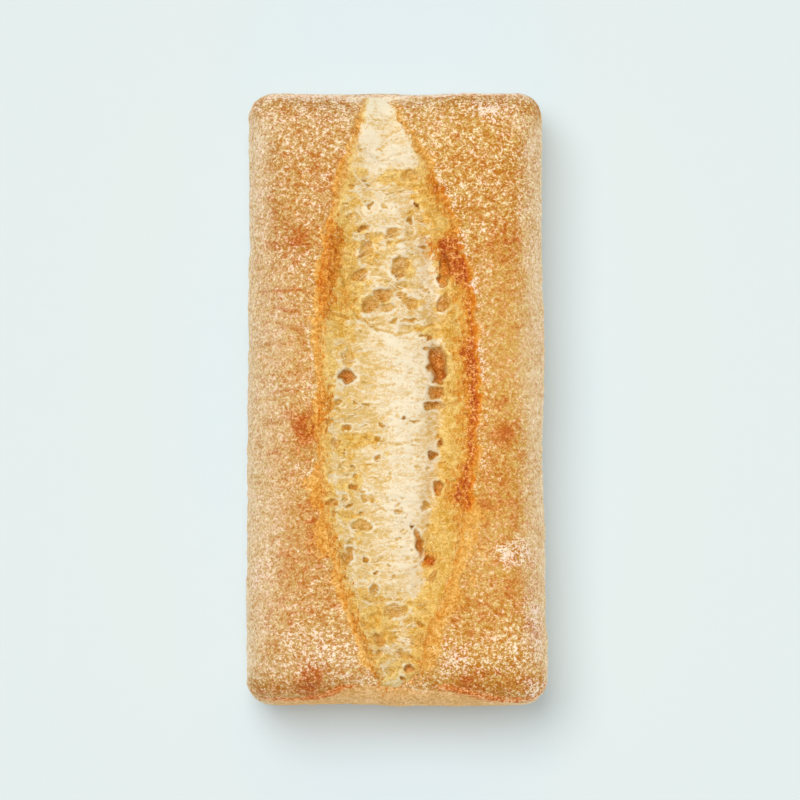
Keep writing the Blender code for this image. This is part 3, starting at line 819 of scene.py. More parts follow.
def smoothed(values, radius):
    """Mean over a square of the crumb's grid, taken twice."""
    for axis in (0, 1, 0, 1):
        widened = np.pad(values, [(radius + 1, radius) if a == axis else (0, 0) for a in (0, 1)], "edge")
        sums = np.cumsum(widened, axis=axis)
        last = np.take(sums, np.arange(2 * radius + 1, sums.shape[axis]), axis)
        first = np.take(sums, np.arange(0, sums.shape[axis] - 2 * radius - 1), axis)
        values = (last - first) / (2 * radius + 1)
    return values


def crumb_surface(x, y):
    """Height of the crumb, torn down to meet the crust at its edges, and its relief and cells in mm."""
    relief, cells, rim = crumb_relief(x / MM, y / MM)
    left, right = torn_lips(y)
    inside = np.minimum(x - left, right - x) / MM
    spots = plan_spots(x / MM, y / MM)
    ragged = 0.28 * lumps(spots, 1.4, 69) + 0.16 * lumps(spots, 0.6, 70)
    edge = 0.35 * ramp(inside, 0.9, -1.4) - ragged * ramp(np.abs(inside), 2.0, 0.3)
    edge += 1.2 * ramp(y / MM + 2.2 * lumps(spots, 2.2, 74), -68.5, -71.0) + ramp(y / MM, 73.2, 74.1)
    relief = relief * ramp(inside, -0.4, 2.2) - edge
    return shape_top(x, y, top_height(x, y), trough_depth(x, y) - relief * MM), relief, cells, rim


def crumb_points():
    x, y = crumb_plan()
    z, relief, cells, rim = crumb_surface(x, y)
    top = np.stack([x, y, z], axis=1)
    border = border_of(CRUMB_COLUMNS, CRUMB_ROWS)
    skirt = top[border]
    skirt[:, 1] = np.clip(skirt[:, 1], PLUG_FRONT, PLUG_BACK)
    skirt[:, 2] = PLUG_BOTTOM
    below = len(top) + np.arange(len(border))
    faces = np.concatenate([grid_faces(CRUMB_COLUMNS, CRUMB_ROWS), ring_faces(border, below)])
    grid = relief.reshape(CRUMB_COLUMNS + 1, CRUMB_ROWS + 1)
    # crests and hollows of the relief, for the crumb's painted highlight and painted shade
    crest, hollow = grid - smoothed(grid, CREST_STEPS), smoothed(grid, HOLLOW_STEPS) - grid
    masks = crumb_masks(top, crest.ravel(), hollow.ravel(), cells, rim)
    masks = {name: np.append(values, np.zeros(len(border))) for name, values in masks.items()}
    return np.concatenate([top, skirt]), faces.tolist() + [below[::-1].tolist()], masks


# %% [markdown]
# ## Where the crumb is cream, golden and toasted
# Thin crests and cell rims of the crumb are painted nearly white, a painted highlight where they
# catch the light. The hollows and cells are painted darker and golden: painted shade, and painted
# light that has passed through more crumb. Beside the lips the crumb was open to the oven and
# toasted, on the right more than on the left.

# %% Masks of the crumb
# Where the pale crumb ends and the golden slope begins: (along, left, right) in mm
GOLDEN_EDGE = np.array((
    (75, -7.0, -1.2), (70, -7.8, 0.6), (66.5, -8.8, 2.8), (63, -9.6, 4.6),
    (54, -11.0, 6.0), (44, -12.6, 8.6), (37, -10.5, 9.5), (29, -8.5, 10.5),
    (24, -11.5, 12.5), (15, -15.0, 11.6), (5, -15.4, 10.5), (-5, -16.2, 11.5), (-15, -16.6, 11.0),
    (-25, -15.2, 9.8), (-30, -14.6, 7.6), (-35, -13.6, 6.0), (-40, -12.4, 7.4), (-45, -11.4, 8.0),
    (-50, -9.4, 5.2), (-56, -7.0, 3.6), (-64, -4.4, 3.2), (-70, -2.4, 2.4),
))[::-1]
# Each patch and spot: (across, along, width, length, strength), the first four in mm
GOLDEN_PATCHES = (
    (-4.5, 22.6, 5, 2, 0.8), (-14.5, 25, 3.5, 6, 1.6), (-12.4, 24, 3, 3, 0.7), (-13, 36, 2.4, 6, 0.7),
    (-15, 27, 2, 3, 0.6), (-1, 54, 4, 3.5, 1.0), (6, 52, 2.6, 3.5, 0.8), (8.4, 47, 2.6, 6, 0.8),
    (1.4, 45, 2, 2, 0.4), (3.5, 31.5, 1.6, 3, 0.9),
    (5, 24, 4, 2.5, 0.5), (10, 16, 6, 2.5, 0.8), (-7, -10.5, 6, 1.6, 0.7), (-4, -9.6, 3, 1.2, 0.6),
    (-13, 9, 3, 5, 0.5), (1, -53, 8, 5, 0.5), (-8, -31, 4, 3, 0.3), (3, -66, 5, 4, 0.45),
    (-5, -57, 4, 5, 0.5), (-10, -17, 4, 5, 0.25), (-13, -8, 3, 12, 0.35), (-12, -30, 3, 8, 0.35),
    (7.5, -35, 2, 4, 0.8),
)
TOASTED_SPOTS = ((8.5, -40.8, 1.8, 1.6, 1.0), (-13.0, 23, 2.4, 3.4, 0.42))


def crumb_masks(points, crest, hollow, cells, rim):
    """One value per point for each kind of crumb and for its painted highlight and shade. Lengths are in mm.
    """
    x, y, _ = points.T / MM
    seen_y, spots = y + LEAN, points * (1, 1, 0)
    left, right = (lip / MM for lip in torn_lips(points[:, 1]))
    from_left, from_right = x - left, right - x
    left_bake, right_bake, core, _, _ = lip_bake(y)
    coarse, calm = openness(y), calmness(x, y)
    rough = lumps(spots, (4, 3, 1), 71)
    fine = lumps(spots, (1.5, 1.1, 1), 72) + 0.6 * lumps(spots, (0.8, 0.6, 1), 73)

    # toasted beside the lips, with a red core at the right one, and in two spots
    toast = 0.8 * left_bake * ramp(from_left + 0.9 * fine, 1.5 + 5.5 * left_bake, 0.6 + 2.6 * left_bake)
    red = ramp(from_right + 1.1 * fine, core + 0.6, core - 0.9)
    orange = ramp(from_right + 2.2 * fine, core + 4.8, core + 0.8)
    toast = np.maximum(toast, right_bake * (0.46 * orange + 0.58 * red))
    for spot_x, spot_y, width, length, strength in TOASTED_SPOTS:
        toast = np.maximum(toast, strength * bump_at(x - spot_x, width) * bump_at(y - spot_y, length))

    # golden on the slopes, in patches, where the foam is coarse and at the front end
    ragged = (1.2 * rough + 0.7 * fine) * (1 - 0.7 * ramp(seen_y, 54, 62))
    left_gold, right_gold = (np.interp(seen_y, GOLDEN_EDGE[:, 0], column) for column in GOLDEN_EDGE.T[1:])
    golden = np.maximum(ramp(x + ragged, left_gold + 1.8, left_gold - 1.2),
                        ramp(x + ragged, right_gold - 1.8, right_gold + 1.0))
    patchy = patches(x, seen_y, GOLDEN_PATCHES) + 0.35 * rough + 0.3 * fine + 0.3 * coarse
    patchy += 0.4 * lumps(spots, (2.2, 1.6, 1), 75) - 0.6 * calm - 0.4 * ramp(seen_y, 56, 64)
    patchy += 0.3 * bump_at(from_left / (right - left) - 0.12, 0.2)
    front_end = ramp(seen_y + 0.6 * fine, -63, -66.5)
    golden = np.maximum(np.maximum(golden, ramp(patchy, 0.2, 1.0)), 0.45 * front_end)

    # cream on the crests and cell rims, which is a painted highlight, and less in the hollows, painted shade;
    # cream also on the smooth film and at both ends
    cream = 0.54 + np.clip(0.9 * crest, -0.25, 0.25) - np.clip(0.3 * hollow, -0.25, 0.5) + 0.1 * rough
    cream += ramp(seen_y, 50, 60) * (0.2 + 0.3 * lumps(spots, (2, 5, 1), 76))
    cream += 0.15 * bump_at(x - 1.5, 7) * (1 - coarse) + 0.9 * rim + 0.18 * calm
    cream += 0.1 * front_end + 0.12 * ramp(seen_y, 68, 72)

    # painted shade: hollows and cells take darker, golden colours, less so where the crumb is toasted
    pit = np.maximum((hollow - 0.3) / 2.0, 0.5 * cells - 0.06) * (1 - 0.7 * toast)
    skin = ramp(np.minimum(from_left, from_right) + 0.9 * fine, 2.2, 0.2)
    return {"toast": toast, "golden": golden, "cream": np.minimum(cream, 0.95), "pit": pit, "skin": skin}


crumb_place, crumb_faces, crumb_mask_values = crumb_points()
crumb_mesh = plain_mesh("bun_crumb", fit_to_box(add_unevenness(crumb_place)), crumb_faces)
store(crumb_mesh, crumb_mask_values)
crumb = placed("bun_crumb", crumb_mesh)
print("crumb:", len(crumb_mesh.vertices), "points, masks:", list(crumb_mask_values))

# %% [markdown]
# ## Materials
# One function turns a colour as it is seen on screen into the linear one the renderer works
# with, and one adds a node with its settings and links. A socket is given a number, a colour or
# the output that feeds it. What the materials share is built from these two: noises with a size
# in millimetres, colours laid along a value, and masks whose edges are broken up.

# %% Helpers for materials
# Kinds of node with their settings. BAND takes a value, where it starts and where it ends, and
# what it becomes there, 0 and 1 if nothing else is said. STORED reads an attribute of the mesh.
MIX = "ShaderNodeMix", {"data_type": "RGBA", "clamp_factor": True}
BAND = "ShaderNodeMapRange", {"interpolation_type": "SMOOTHSTEP"}
STORED = "GeometryNodeInputNamedAttribute", {"data_type": "FLOAT"}
TIMES, PLUS, MINUS, TIMES_PLUS, UNSIGNED, LARGER = (
    ("ShaderNodeMath", {"operation": name})
    for name in ("MULTIPLY", "ADD", "SUBTRACT", "MULTIPLY_ADD", "ABSOLUTE", "MAXIMUM"))


def srgb(hex_colour):
    """A linear colour from sRGB hex."""
    parts = [int(hex_colour[i:i + 2], 16) / 255 for i in (0, 2, 4)]
    return [p / 12.92 if p <= 0.04045 else ((p + 0.055) / 1.055) ** 2.4 for p in parts] + [1]


def node(tree, kind, *values, out=None, **named):
    """Adds a node and gives its first output, or the one called out. kind may carry settings.

    Values go to the sockets in use, in their order. A socket's name has _ for a space.
    """
    name, settings = kind if isinstance(kind, tuple) else (kind, {})
    made = tree.nodes.new(name)
    for key, value in settings.items():
        setattr(made, key, value)
    sockets = [socket for socket in made.inputs if socket.enabled][:len(values)]
    sockets += [made.inputs[key.replace("_", " ")] for key in named]
    for socket, value in zip(sockets, (*values, *named.values())):
        if isinstance(value, bpy.types.NodeSocket):
            tree.links.new(value, socket)
        else:
            socket.default_value = value
    return made.outputs[out] if out else next(socket for socket in made.outputs if socket.enabled)


def material(name, *masks):
    """A new material, its tree, the place on the object, and the mesh's masks."""
    made = bpy.data.materials.new(name)
    made.use_nodes = True
    tree = made.node_tree
    kinds = [("ShaderNodeAttribute", {"attribute_name": mask}) for mask in masks]
    place = node(tree, "ShaderNodeTexCoord", out="Object")
    return made, tree, place, *[node(tree, kind, out="Fac") for kind in kinds]


def coat(tree, colour, roughness, gloss, **bump):
    """Gives a material its colour, how dull and how glossy it is, and its bump if it has one."""
    shader = tree.nodes["Principled BSDF"].inputs
    tree.links.new(colour, shader["Base Color"])
    shader["Roughness"].default_value = roughness
    shader["Specular IOR Level"].default_value = gloss
    if bump:
        tree.links.new(node(tree, "ShaderNodeBump", **bump), shader["Normal"])


print("a mid grey, 808080, is", round(srgb("808080")[0], 3), "in linear light")

# %% Patterns that the materials share
def weighted(tree, *pairs):
    """Sum of outputs, each times its weight."""
    total = node(tree, TIMES, *pairs[0])
    for output, weight in pairs[1:]:
        total = node(tree, TIMES_PLUS, output, weight, total)
    return total


def crest_of(tree, value, width):
    """1 along the middle values of a noise, which draws worms, and 0 away from them."""
    away = node(tree, UNSIGNED, node(tree, MINUS, value, 0.5))
    return node(tree, BAND, away, width, width / 6)


def grain(tree, place, size_mm, detail=2.0, rough=0.5, distort=0.0, stretch=(1, 1, 2)):
    """Noise whose lumps are size_mm wide, or more along an axis that is stretched."""
    scale = [1 / (size_mm * MM * s) for s in stretch]
    return node(tree, "ShaderNodeTexNoise", node(tree, "ShaderNodeMapping", place, Scale=scale),
                Scale=1.0, Detail=detail, Roughness=rough, Distortion=distort)


def tones(tree, value):
    """Lays three colours along a value that runs from about 0 to 1, dark to light."""
    low, high = node(tree, BAND, value, 0.0, 0.55), node(tree, BAND, value, 0.45, 1.0)

    def colours(dark, middle, light):
        return node(tree, MIX, high, node(tree, MIX, low, srgb(dark), srgb(middle)), srgb(light))
    return colours


def ruffled(tree, share, noise):
    """Adds a noise to a mask, but only where the mask is above nought."""
    return node(tree, TIMES_PLUS, noise, node(tree, BAND, share, 0.0, 0.12), share)


def broken(tree, share, noise, reach=0.3):
    """A mask whose soft edge is broken up by a noise."""
    return node(tree, BAND, ruffled(tree, share, noise), 0.5 - reach, 0.5 + reach)


def scorched(tree, colour, level, toned):
    """Lays the torn edge's baking over a colour: golden orange, and red brown where it is most."""
    golden, red = toned("BA5C06", "D47E1A", "EAB04E"), toned("923004", "BE500C", "F0B468")
    colour = node(tree, MIX, node(tree, BAND, level, 0.2, 0.52), colour, golden)
    return node(tree, MIX, node(tree, BAND, level, 0.7, 1.0), colour, red)


def crust_grains(tree, place):
    """The crust's noises. The crumb's edge uses them too, so that one runs into the other."""
    clots = grain(tree, place, 1.05, rough=0.6, distort=0.4, stretch=(1.2, 1, 2))
    worm = crest_of(tree, grain(tree, place, 1.1, distort=0.6), 0.12)
    speck = grain(tree, place, 0.5, detail=1.5, rough=0.6, stretch=(1.15, 1, 2))
    lick = grain(tree, place, 0.6, rough=0.6, distort=0.4, stretch=(1, 2.6, 2))
    ragged = weighted(tree, (lick, 1.5), (clots, 0.7), (speck, 0.8), (1.0, -1.5))
    return clots, worm, speck, ragged


# %% [markdown]
# ## Baked crust
# A lean dough's crust is dry and matt. Its colour runs from pale tan through gold to a red brown,
# and over it lies flour that has caught on the wrinkles' crests, so it draws worms about half a
# millimetre wide. The worms come from a noise folded about its middle. They set colour and bump
# together, so that the flour looks laid on. The noises are drawn out twofold up and down, so that
# the flecks keep their size on the steep shoulders when they are seen from above.

# %% Crust material
GOLDEN_SKIN = "C47A22", "DAA24A", "F2CA86"   # beside the lips, dark to light
CRUST_ROUGHNESS, BREAD_GLOSS, CRUST_BUMP = 0.8, 0.15, 0.15 * MM


def crust_material():
    made, tree, place, pale, lip, glow, brown, flour, gold, end_wall, rim, bared, back_rim, crisp = material(
        "baked_crust_with_flour", "pale", "lip", "glow", "brown", "flour", "gold", "end_wall", "rim",
        "bared", "back_rim", "crisp")
    clots, worm, speck, ragged = crust_grains(tree, place)
    patch = grain(tree, place, 6, detail=3, rough=0.55)
    hue = grain(tree, place, 2.2, detail=3, rough=0.7)
    streaks = grain(tree, place, 0.95, rough=0.6, distort=0.2, stretch=(2.4, 1, 2))
    clots = node(tree, MIX, pale, clots, streaks)
    shade = weighted(tree, (clots, 1.3), (speck, 1.35), (worm, 0.35), (patch, 0.4), (brown, -0.3),
                     (1.0, -1.71))
    shade = node(tree, TIMES_PLUS, shade, node(tree, TIMES_PLUS, crisp, 0.85, 0.42), 0.5)
    toned = tones(tree, shade)

    tint = weighted(tree, (grain(tree, place, 0.9, rough=0.7), 1.0), (hue, 0.45), (patch, 0.2), (1.0, -0.34))
    tint = node(tree, BAND, tint, 0.34, 0.66)   # from a yellow skin to a pink one
    yellow = node(tree, MIX, gold, toned("B27020", "C9A35E", "E8DCB6"), toned("B67218", "CBA352", "ECDEB0"))
    pink = node(tree, MIX, gold, toned("B26418", "C89256", "ECD4BE"), toned("B46410", "CA8E48", "EED4B6"))
    wall = node(tree, MIX, tint, toned("CEA25E", "ECD6AA", "FCF0D8"), toned("D0965E", "EED3B2", "FEEDDE"))
    redder = node(tree, BAND, weighted(tree, (brown, 0.9), (hue, 2.4), (flour, 0.1)), 1.45, 2.4, 0, 0.85)
    skin = node(tree, MIX, tint, yellow, pink)
    for share, colours in (
            (redder, toned("A44208", "CC7834", "EEBC90")),
            (node(tree, TIMES, pale, 0.85), wall),
            (end_wall, toned("CE9A50", "E2B072", "F2CC94")),
            # the pale back rim is a painted highlight where the back shoulder turns from the light
            (back_rim, toned("CC8844", "F4D6B0", "FFF8EE")),
            (broken(tree, rim, ragged), toned("BA500E", "DE8636", "F8C892")),
            (bared, toned("E8CE9C", "FCEED0", "FFF8EA")),
            (broken(tree, glow, ragged), toned(*GOLDEN_SKIN))):
        skin = node(tree, MIX, share, skin, colours)
    skin = scorched(tree, skin, node(tree, PLUS, lip, ragged), toned)

    dusted = weighted(tree, (shade, 1.0), (worm, 0.25), (flour, 0.75))
    dust = node(tree, MIX, tint, srgb("F0E0CA"), srgb("F2DACC"))
    colour = node(tree, MIX, node(tree, BAND, dusted, 1.05, 1.75, 0, 0.9), skin, dust)
    coat(tree, colour, CRUST_ROUGHNESS, BREAD_GLOSS, Strength=0.8, Distance=CRUST_BUMP, Height=shade)
    return made


crust_mesh.materials.append(crust_material())
print("crust material:", len(crust_mesh.materials[0].node_tree.nodes), "nodes")

# %% [markdown]
# ## Torn crumb
# Open crumb is a stretched gluten film: cream where it is thin and folded, golden where it is
# thick, with a faint gloss. Light goes a little way into the real one. Here the surface is
# opaque, which renders without noise, and hollows painted golden and darker, painted light and
# painted shade, with a weak warm light stand for that.

# %% Crumb material
RICH = "C68412", "E1AD48", "F6DA8E"   # golden crumb, dark to light
CRUMB_ROUGHNESS, CRUMB_BUMP = 0.6, 0.2 * MM


def crumb_material():
    made, tree, place, toast, golden, cream, pit, skin = material(
        "torn_crumb", "toast", "golden", "cream", "pit", "skin")
    thread = grain(tree, place, 0.9, distort=0.8, stretch=(1.5, 1, 1))
    thread = crest_of(tree, thread, 0.1)
    mottle = grain(tree, place, 1.6, detail=3, rough=0.6, distort=0.3, stretch=(1.1, 1, 1))
    drawn = grain(tree, place, 0.8, rough=0.55, distort=0.5, stretch=(3.6, 1, 1))
    speck = grain(tree, place, 0.42, detail=1.5, rough=0.6)
    clots, worm, fleck, ragged = crust_grains(tree, place)

    uneven = weighted(tree, (mottle, 0.6), (drawn, 0.7), (thread, 0.12), (speck, 0.65), (1.0, -1.0))
    # the cream mask carries the painted highlight on crests and rims and painted shade in hollows
    toned = tones(tree, node(tree, PLUS, cream, uneven))
    blotches = weighted(tree, (mottle, 1.7), (ragged, 0.8), (speck, 1.3), (thread, 0.3), (1.0, -1.08))
    mottled = tones(tree, blotches)
    crusty = tones(tree, weighted(tree, (clots, 1.3), (fleck, 1.35), (worm, 0.35), (1.0, -0.97)))
    body = toned("C49234", "E4C078", "F8EACC")
    for share, colours in (
            (broken(tree, golden, ragged, 0.4), node(tree, MIX, 0.5, toned(*RICH), mottled(*RICH))),
            # the pits' darker golden browns are painted shade in the hollows and cells
            (node(tree, BAND, pit, 0.1, 0.5, 0, 0.75), mottled("AE6E1A", "CC9646", "E4BC7C")),
            (node(tree, BAND, pit, 0.5, 0.95, 0, 0.9), mottled("A8540C", "C47426", "DE9E50")),
            (broken(tree, skin, ragged), crusty(*GOLDEN_SKIN))):
        body = node(tree, MIX, share, body, colours)
    colour = scorched(tree, body, ruffled(tree, toast, ragged), crusty)

    height = weighted(tree, (thread, 0.15), (mottle, 0.5), (speck, 0.8))
    coat(tree, colour, CRUMB_ROUGHNESS, BREAD_GLOSS, Strength=0.6, Distance=CRUMB_BUMP, Height=height)
    return made


crumb_mesh.materials.append(crumb_material())
print("crumb material:", len(crumb_mesh.materials[0].node_tree.nodes), "nodes")

# %% [markdown]
# ## Strands in the crumb
# Where the crumb was pulled open, gluten drew out into threads that hang over the cells. They
# repeat with small changes, so a geometry node tree gives each guide line its round thickness.
# The guides follow one rule: they run across the loaf and dip towards its middle line, more so
# at the two ends of the split.

# %% Guide lines for the strands
STRANDS, STRAND_STEPS, STRAND_SEED = 1000, 10, 12
STRAND_ENDS = -68, 64         # where the strands begin and end along the loaf, in mm
STRAND_LIFT = 0.04 * MM       # how far they lie over the crumb
STRAND_CREST = 0.3            # a strand gets the crests' painted highlight, as for a crest this high, in mm
# How far the strands' ends dip, in degrees, along the loaf in mm
DIPS = np.array(((-70, 95), (-45, 80), (-20, 16), (15, 16), (35, 60), (60, 50)))


def strand_guides():
    """Points of every strand, as (step, strand) arrays of x and y, and its thickness, all in mm."""
    rng = np.random.default_rng(STRAND_SEED)
    along = rng.uniform(*STRAND_ENDS, STRANDS)
    calm = openness(along) < rng.random(STRANDS)
    left, right = (lip / MM for lip in lips_at(along * MM))
    share = rng.uniform(0.04, 0.96, STRANDS)
    length = np.where(calm, 1.2, 1.6) + np.where(calm, 2.2, 3.2) * rng.random(STRANDS) ** 1.6
    dip = np.interp(along, *DIPS.T)
    start = np.radians(dip * (share - 0.5) + rng.normal(0, 26, STRANDS))
    turn = np.radians(rng.normal(0, 32, STRANDS))
    step = np.linspace(-0.5, 0.5, STRAND_STEPS)[:, None]
    way = start + turn * step
    x = left + share * (right - left) + length * (np.cumsum(np.cos(way), axis=0) / STRAND_STEPS - 0.5)
    y = along + length * np.cumsum(np.sin(way), axis=0) / STRAND_STEPS
    girth = rng.uniform(0.08, 0.17, STRANDS) * (1.02 - (2 * step) ** 2) ** 0.5
    near_left, near_right = (lip / MM for lip in lips_at(y * MM))
    return np.clip(x, near_left + 0.3, near_right - 0.3), y, girth


def strand_mesh():
    """The guides as a mesh of edges, hung over the crumb, with the crumb's masks."""
    x, y, girth = strand_guides()
    z, _, cells, _ = (v.reshape(x.shape) for v in crumb_surface(x.ravel() * MM, y.ravel() * MM))
    girth = girth * np.clip(1.25 - 0.9 * cells, 0.3, 1)
    hung = np.stack([np.roll(z, k, axis=0) for k in (-2, -1, 0, 1, 2)])[:, 2:-2].mean(axis=0)
    z[2:-2] = np.maximum(z[2:-2], hung)
    points = np.stack([x * MM, y * MM, z + STRAND_LIFT], axis=2).reshape(-1, 3)
    order = np.arange(x.size).reshape(x.shape)
    edges = np.stack([order[:-1].ravel(), order[1:].ravel()], axis=1)
    mesh = bpy.data.meshes.new("bun_strands")
    mesh.from_pydata(fit_to_box(add_unevenness(points)).tolist(), edges.tolist(), [])
    flat = np.zeros(len(points))
    masks = crumb_masks(points, flat + STRAND_CREST, flat, flat, flat)
    masks["cream"] += 0.15 + 0.4 * ramp(y.ravel(), -48, -56)
    masks["golden"] *= 0.92
    store(mesh, masks | {"girth": girth.ravel() * MM})
    return mesh


strands = placed("bun_strands", strand_mesh())
print(STRANDS, "guide lines of", STRAND_STEPS, "points")

# %% Node tree that thickens the guides
def geometry_tree(name, inputs):
    """A tree with a geometry in and out and named inputs, and what those inputs give."""
    tree = bpy.data.node_groups.new(name, "GeometryNodeTree")
    tree.interface.new_socket("Geometry", in_out="INPUT", socket_type="NodeSocketGeometry")
    tree.interface.new_socket("Geometry", in_out="OUTPUT", socket_type="NodeSocketGeometry")
    for label, kind in inputs.items():
        tree.interface.new_socket(label, in_out="INPUT", socket_type="NodeSocket" + kind)
    return tree, tree.nodes.new("NodeGroupInput").outputs


def end_tree(tree, geometry, paint):
    """Every tree ends the same way: real geometry, with its material."""
    real = node(tree, "GeometryNodeRealizeInstances", geometry)
    painted = node(tree, "GeometryNodeSetMaterial", real, Material=paint)
    tree.links.new(painted, tree.nodes.new("NodeGroupOutput").inputs[0])


def grown(thing, name, tree, values):
    """Runs a tree on an object, gives the result as a plain mesh and takes the tree away again."""
    modifier = thing.modifiers.new(tree.name, "NODES")
    modifier.node_group = tree
    for item in tree.interface.items_tree:
        if item.in_out == "INPUT" and item.name in values:
            modifier[item.identifier] = values[item.name]
    bpy.context.view_layer.update()
    result = thing.evaluated_get(bpy.context.evaluated_depsgraph_get())
    mesh = bpy.data.meshes.new_from_object(result)
    thing.modifiers.remove(modifier)
    mesh.name = name
    return mesh


def strand_tree():
    tree, given = geometry_tree(
        "thicken_strands", {"Sides": "Int", "Thickness": "Float", "Material": "Material"})
    girth = node(tree, STORED, "girth")
    guides = node(tree, "GeometryNodeMeshToCurve", given["Geometry"])
    profile = node(tree, "GeometryNodeCurvePrimitiveCircle", Resolution=given["Sides"], Radius=1.0)
    scale = node(tree, TIMES, girth, given["Thickness"])
    tubes = node(tree, "GeometryNodeCurveToMesh", guides, profile, Scale=scale, Fill_Caps=True)
    end_tree(tree, tubes, given["Material"])
    return tree


strands.data = grown(strands, "bun_strands", strand_tree(), {
    "Sides": 5, "Thickness": 1.0, "Material": crumb_mesh.materials[0]})
strands.data.shade_smooth()
print("strands:", len(strands.data.polygons), "faces,", [m.name for m in strands.data.materials])

# %% [markdown]
# ## Flour
# Rye or wheat flour is dusted on the dough before it bakes and stays on it as dull white flecks.
# A second node tree scatters flat little lumps over the crust, where the flour mask is strongest.
# There are some hundreds of them, each with twenty faces. Flour finer than that is in the crust's
# material.

# %% Node tree that scatters the flour
FLOUR_SEED = 4
FLECK_SHAPE, FLECK_FACES = (1, 0.7, 0.4), 20
FLOUR_ROUGHNESS, FLOUR_GLOSS = 0.95, 0.05


def flour_material():
    made, tree, place = material("bread_flour")
    dull = node(tree, BAND, grain(tree, place, 0.8), 0.35, 0.65)
    coat(tree, node(tree, MIX, dull, srgb("F0DCC0"), srgb("FCEEDC")), FLOUR_ROUGHNESS, FLOUR_GLOSS)
    return made


def flour_tree():
    tree, given = geometry_tree("scatter_flour", {
        "Density": "Float", "Least flour": "Float", "Smallest": "Float", "Largest": "Float",
        "Seed": "Int", "Material": "Material"})
    thick = node(tree, MINUS, node(tree, STORED, "flour"), given["Least flour"])
    density = node(tree, TIMES, node(tree, LARGER, thick, 0.0), given["Density"])
    spots = node(tree, "GeometryNodeDistributePointsOnFaces", given["Geometry"],
                 Density=density, Seed=given["Seed"])
    ball = node(tree, "GeometryNodeMeshIcoSphere", Radius=0.5, Subdivisions=1)
    fleck = node(tree, "GeometryNodeTransform", ball, Scale=FLECK_SHAPE)
    size = node(tree, "FunctionNodeRandomValue", given["Smallest"], given["Largest"], Seed=given["Seed"])
    flecks = node(tree, "GeometryNodeInstanceOnPoints", spots, Instance=fleck,
                  Rotation=spots.node.outputs["Rotation"], Scale=size)
    end_tree(tree, flecks, given["Material"])
    return tree


flour = placed("crust_flour", grown(crust, "crust_flour", flour_tree(), {
    "Density": 2.0e6, "Least flour": 0.55, "Smallest": 0.14 * MM, "Largest": 0.4 * MM,
    "Seed": FLOUR_SEED, "Material": flour_material()}))
print("flour:", len(flour.data.polygons) // FLECK_FACES, "flecks")

# %% [markdown]
# ## Hand the pieces to the frame
# All pieces belong to the one body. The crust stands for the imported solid.

# %% Ride and replace
for piece in (crust, crumb, strands, flour):
    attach(piece, "root")
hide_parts("ciabatta_bun")
print("handed over:", [piece.name for piece in (crust, crumb, strands, flour)])

# %% [markdown]
# ## Floor, light and camera
# The bun lies on a plain pale ground in soft light from its back left, with weak light from all
# sides that fills the walls. A weak warm light without shadows, on the crumb alone, stands for
# what real crumb lets through. The camera is almost straight above and far off, and leans forward
# by four degrees, so that the front wall shows under the end of the split.

# %% Floor
FLOOR_REACH = 2.0                      # m, from the middle to an edge
TINT_START, TINT_END = 38 * MM, 70 * MM


def ground_material():
    """Pale and dull, and a little bluer near the bun, against the warm light that it throws there."""
    made, tree, place = material("pale_ground")
    squeezed = node(tree, "ShaderNodeMapping", place, Scale=(1, WIDTH / LENGTH, 0))
    from_middle = node(tree, ("ShaderNodeVectorMath", {"operation": "LENGTH"}), squeezed)
    near_bun = node(tree, BAND, from_middle, TINT_START, TINT_END, 1.0, 0.0)
    coat(tree, node(tree, MIX, near_bun, srgb("D3DCDB"), srgb("CEDBE1")), 0.9, 0.0)
    return made


floor_corners = np.array([(-1, -1, 0), (1, -1, 0), (1, 1, 0), (-1, 1, 0)]) * FLOOR_REACH
floor = placed("floor", plain_mesh("floor", floor_corners, [(0, 1, 2, 3)]))
floor.data.materials.append(ground_material())
print("floor:", 2 * FLOOR_REACH, "m wide")

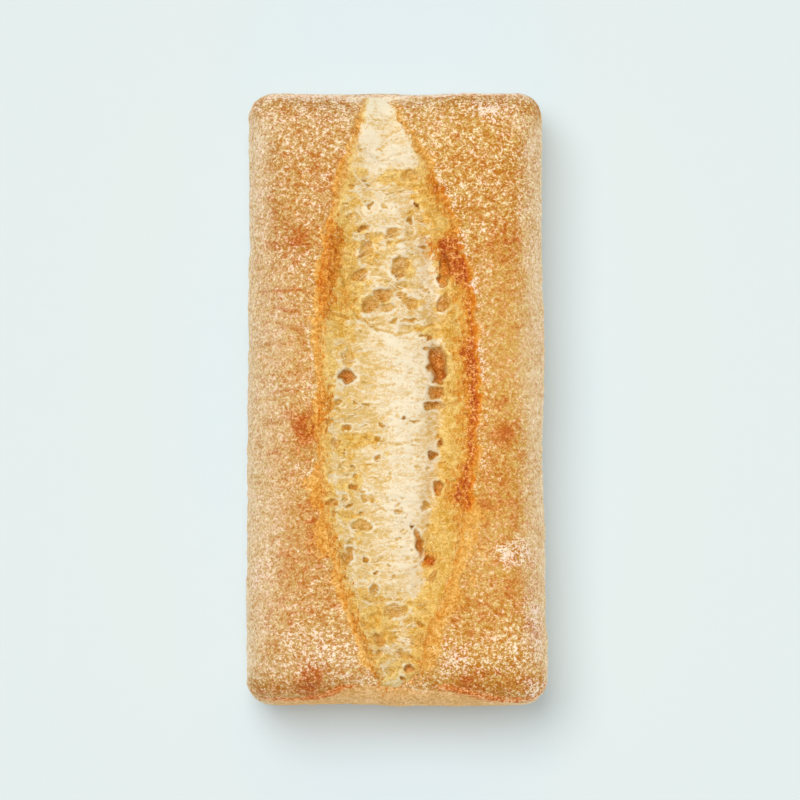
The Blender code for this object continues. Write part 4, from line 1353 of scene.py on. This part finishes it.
# %% Light
# Each light: (name, height, turn, width, its share of the light on the ground, what it falls on if
# not all), the first three numbers in degrees, and the turn from +X to +Y
LIGHTS = (
    ("key", 70, 128, 36, 0.56, ()),
    ("side fill", 22, -26, 60, 0.15, (crust, flour)),
    ("left fill", 24, 190, 60, 0.06, (crust, flour)),
    ("back fill", 18, 95, 50, 0.04, (crust, flour)),
    ("front fill", 24, -80, 60, 0.03, (crust, crumb, strands, flour)),
    ("light through the crumb", 85, 128, 120, 0.045, (crumb, strands)),
    ("ground light", 80, 128, 20, 0.22, (floor,)),
)
SHADOWLESS = "light through the crumb", "ground light"
WARM = (1.0, 0.68, 0.34)
SKY = (0.42, 0.425, 0.43, 1)   # the even light from all round

for name, height, turn, width, share, lit in LIGHTS:
    data = bpy.data.lights.new(name, "SUN")
    up, way = math.radians(height), math.radians(turn)
    data.energy, data.angle = share * math.pi / math.sin(up), math.radians(width)
    data.use_shadow = name not in SHADOWLESS
    light = placed(name, data)
    towards = Vector((math.cos(up) * math.cos(way), math.cos(up) * math.sin(way), math.sin(up)))
    light.rotation_euler = towards.to_track_quat("Z", "Y").to_euler()
    if lit:
        receivers = bpy.data.collections.new(name + " receivers")
        light.light_linking.receiver_collection = receivers
        for thing in lit:
            receivers.objects.link(thing)
bpy.data.lights["light through the crumb"].color = WARM

world = bpy.data.worlds.new("studio")
bpy.context.scene.world = world
world.use_nodes = True
is_seen = node(world.node_tree, "ShaderNodeLightPath", out="Is Camera Ray")
fill = node(world.node_tree, MIX, is_seen, SKY, srgb("E6EFEE"))
world.node_tree.links.new(fill, world.node_tree.nodes["Background"].inputs["Color"])
print(len(LIGHTS), "lights and an even sky")

# %% Camera
PICTURE_PIXELS, PIXEL_SPAN = 800, 0.2440 * MM   # the picture's width, and a pixel's at the bun's waist
LENS, SENSOR, LEAN_ANGLE = 400, 36, 4           # mm, mm, degrees
AIM = Vector((0.7 * MM, -0.15 * MM, WAIST_HEIGHT))
FARTHEST_SEEN = 20                              # m

camera_data = bpy.data.cameras.new("camera")
camera_data.lens, camera_data.sensor_width = LENS, SENSOR
camera_data.clip_end = FARTHEST_SEEN
camera = placed("camera", camera_data)
distance = LENS / SENSOR * PICTURE_PIXELS * PIXEL_SPAN
lean = math.radians(LEAN_ANGLE)
camera.location = AIM + distance * Vector((0, -math.sin(lean), math.cos(lean)))
camera.rotation_euler = (lean, 0, 0)
bpy.context.scene.camera = camera
bpy.context.scene.view_settings.view_transform = "Standard"
print("camera", round(distance, 2), "m away")
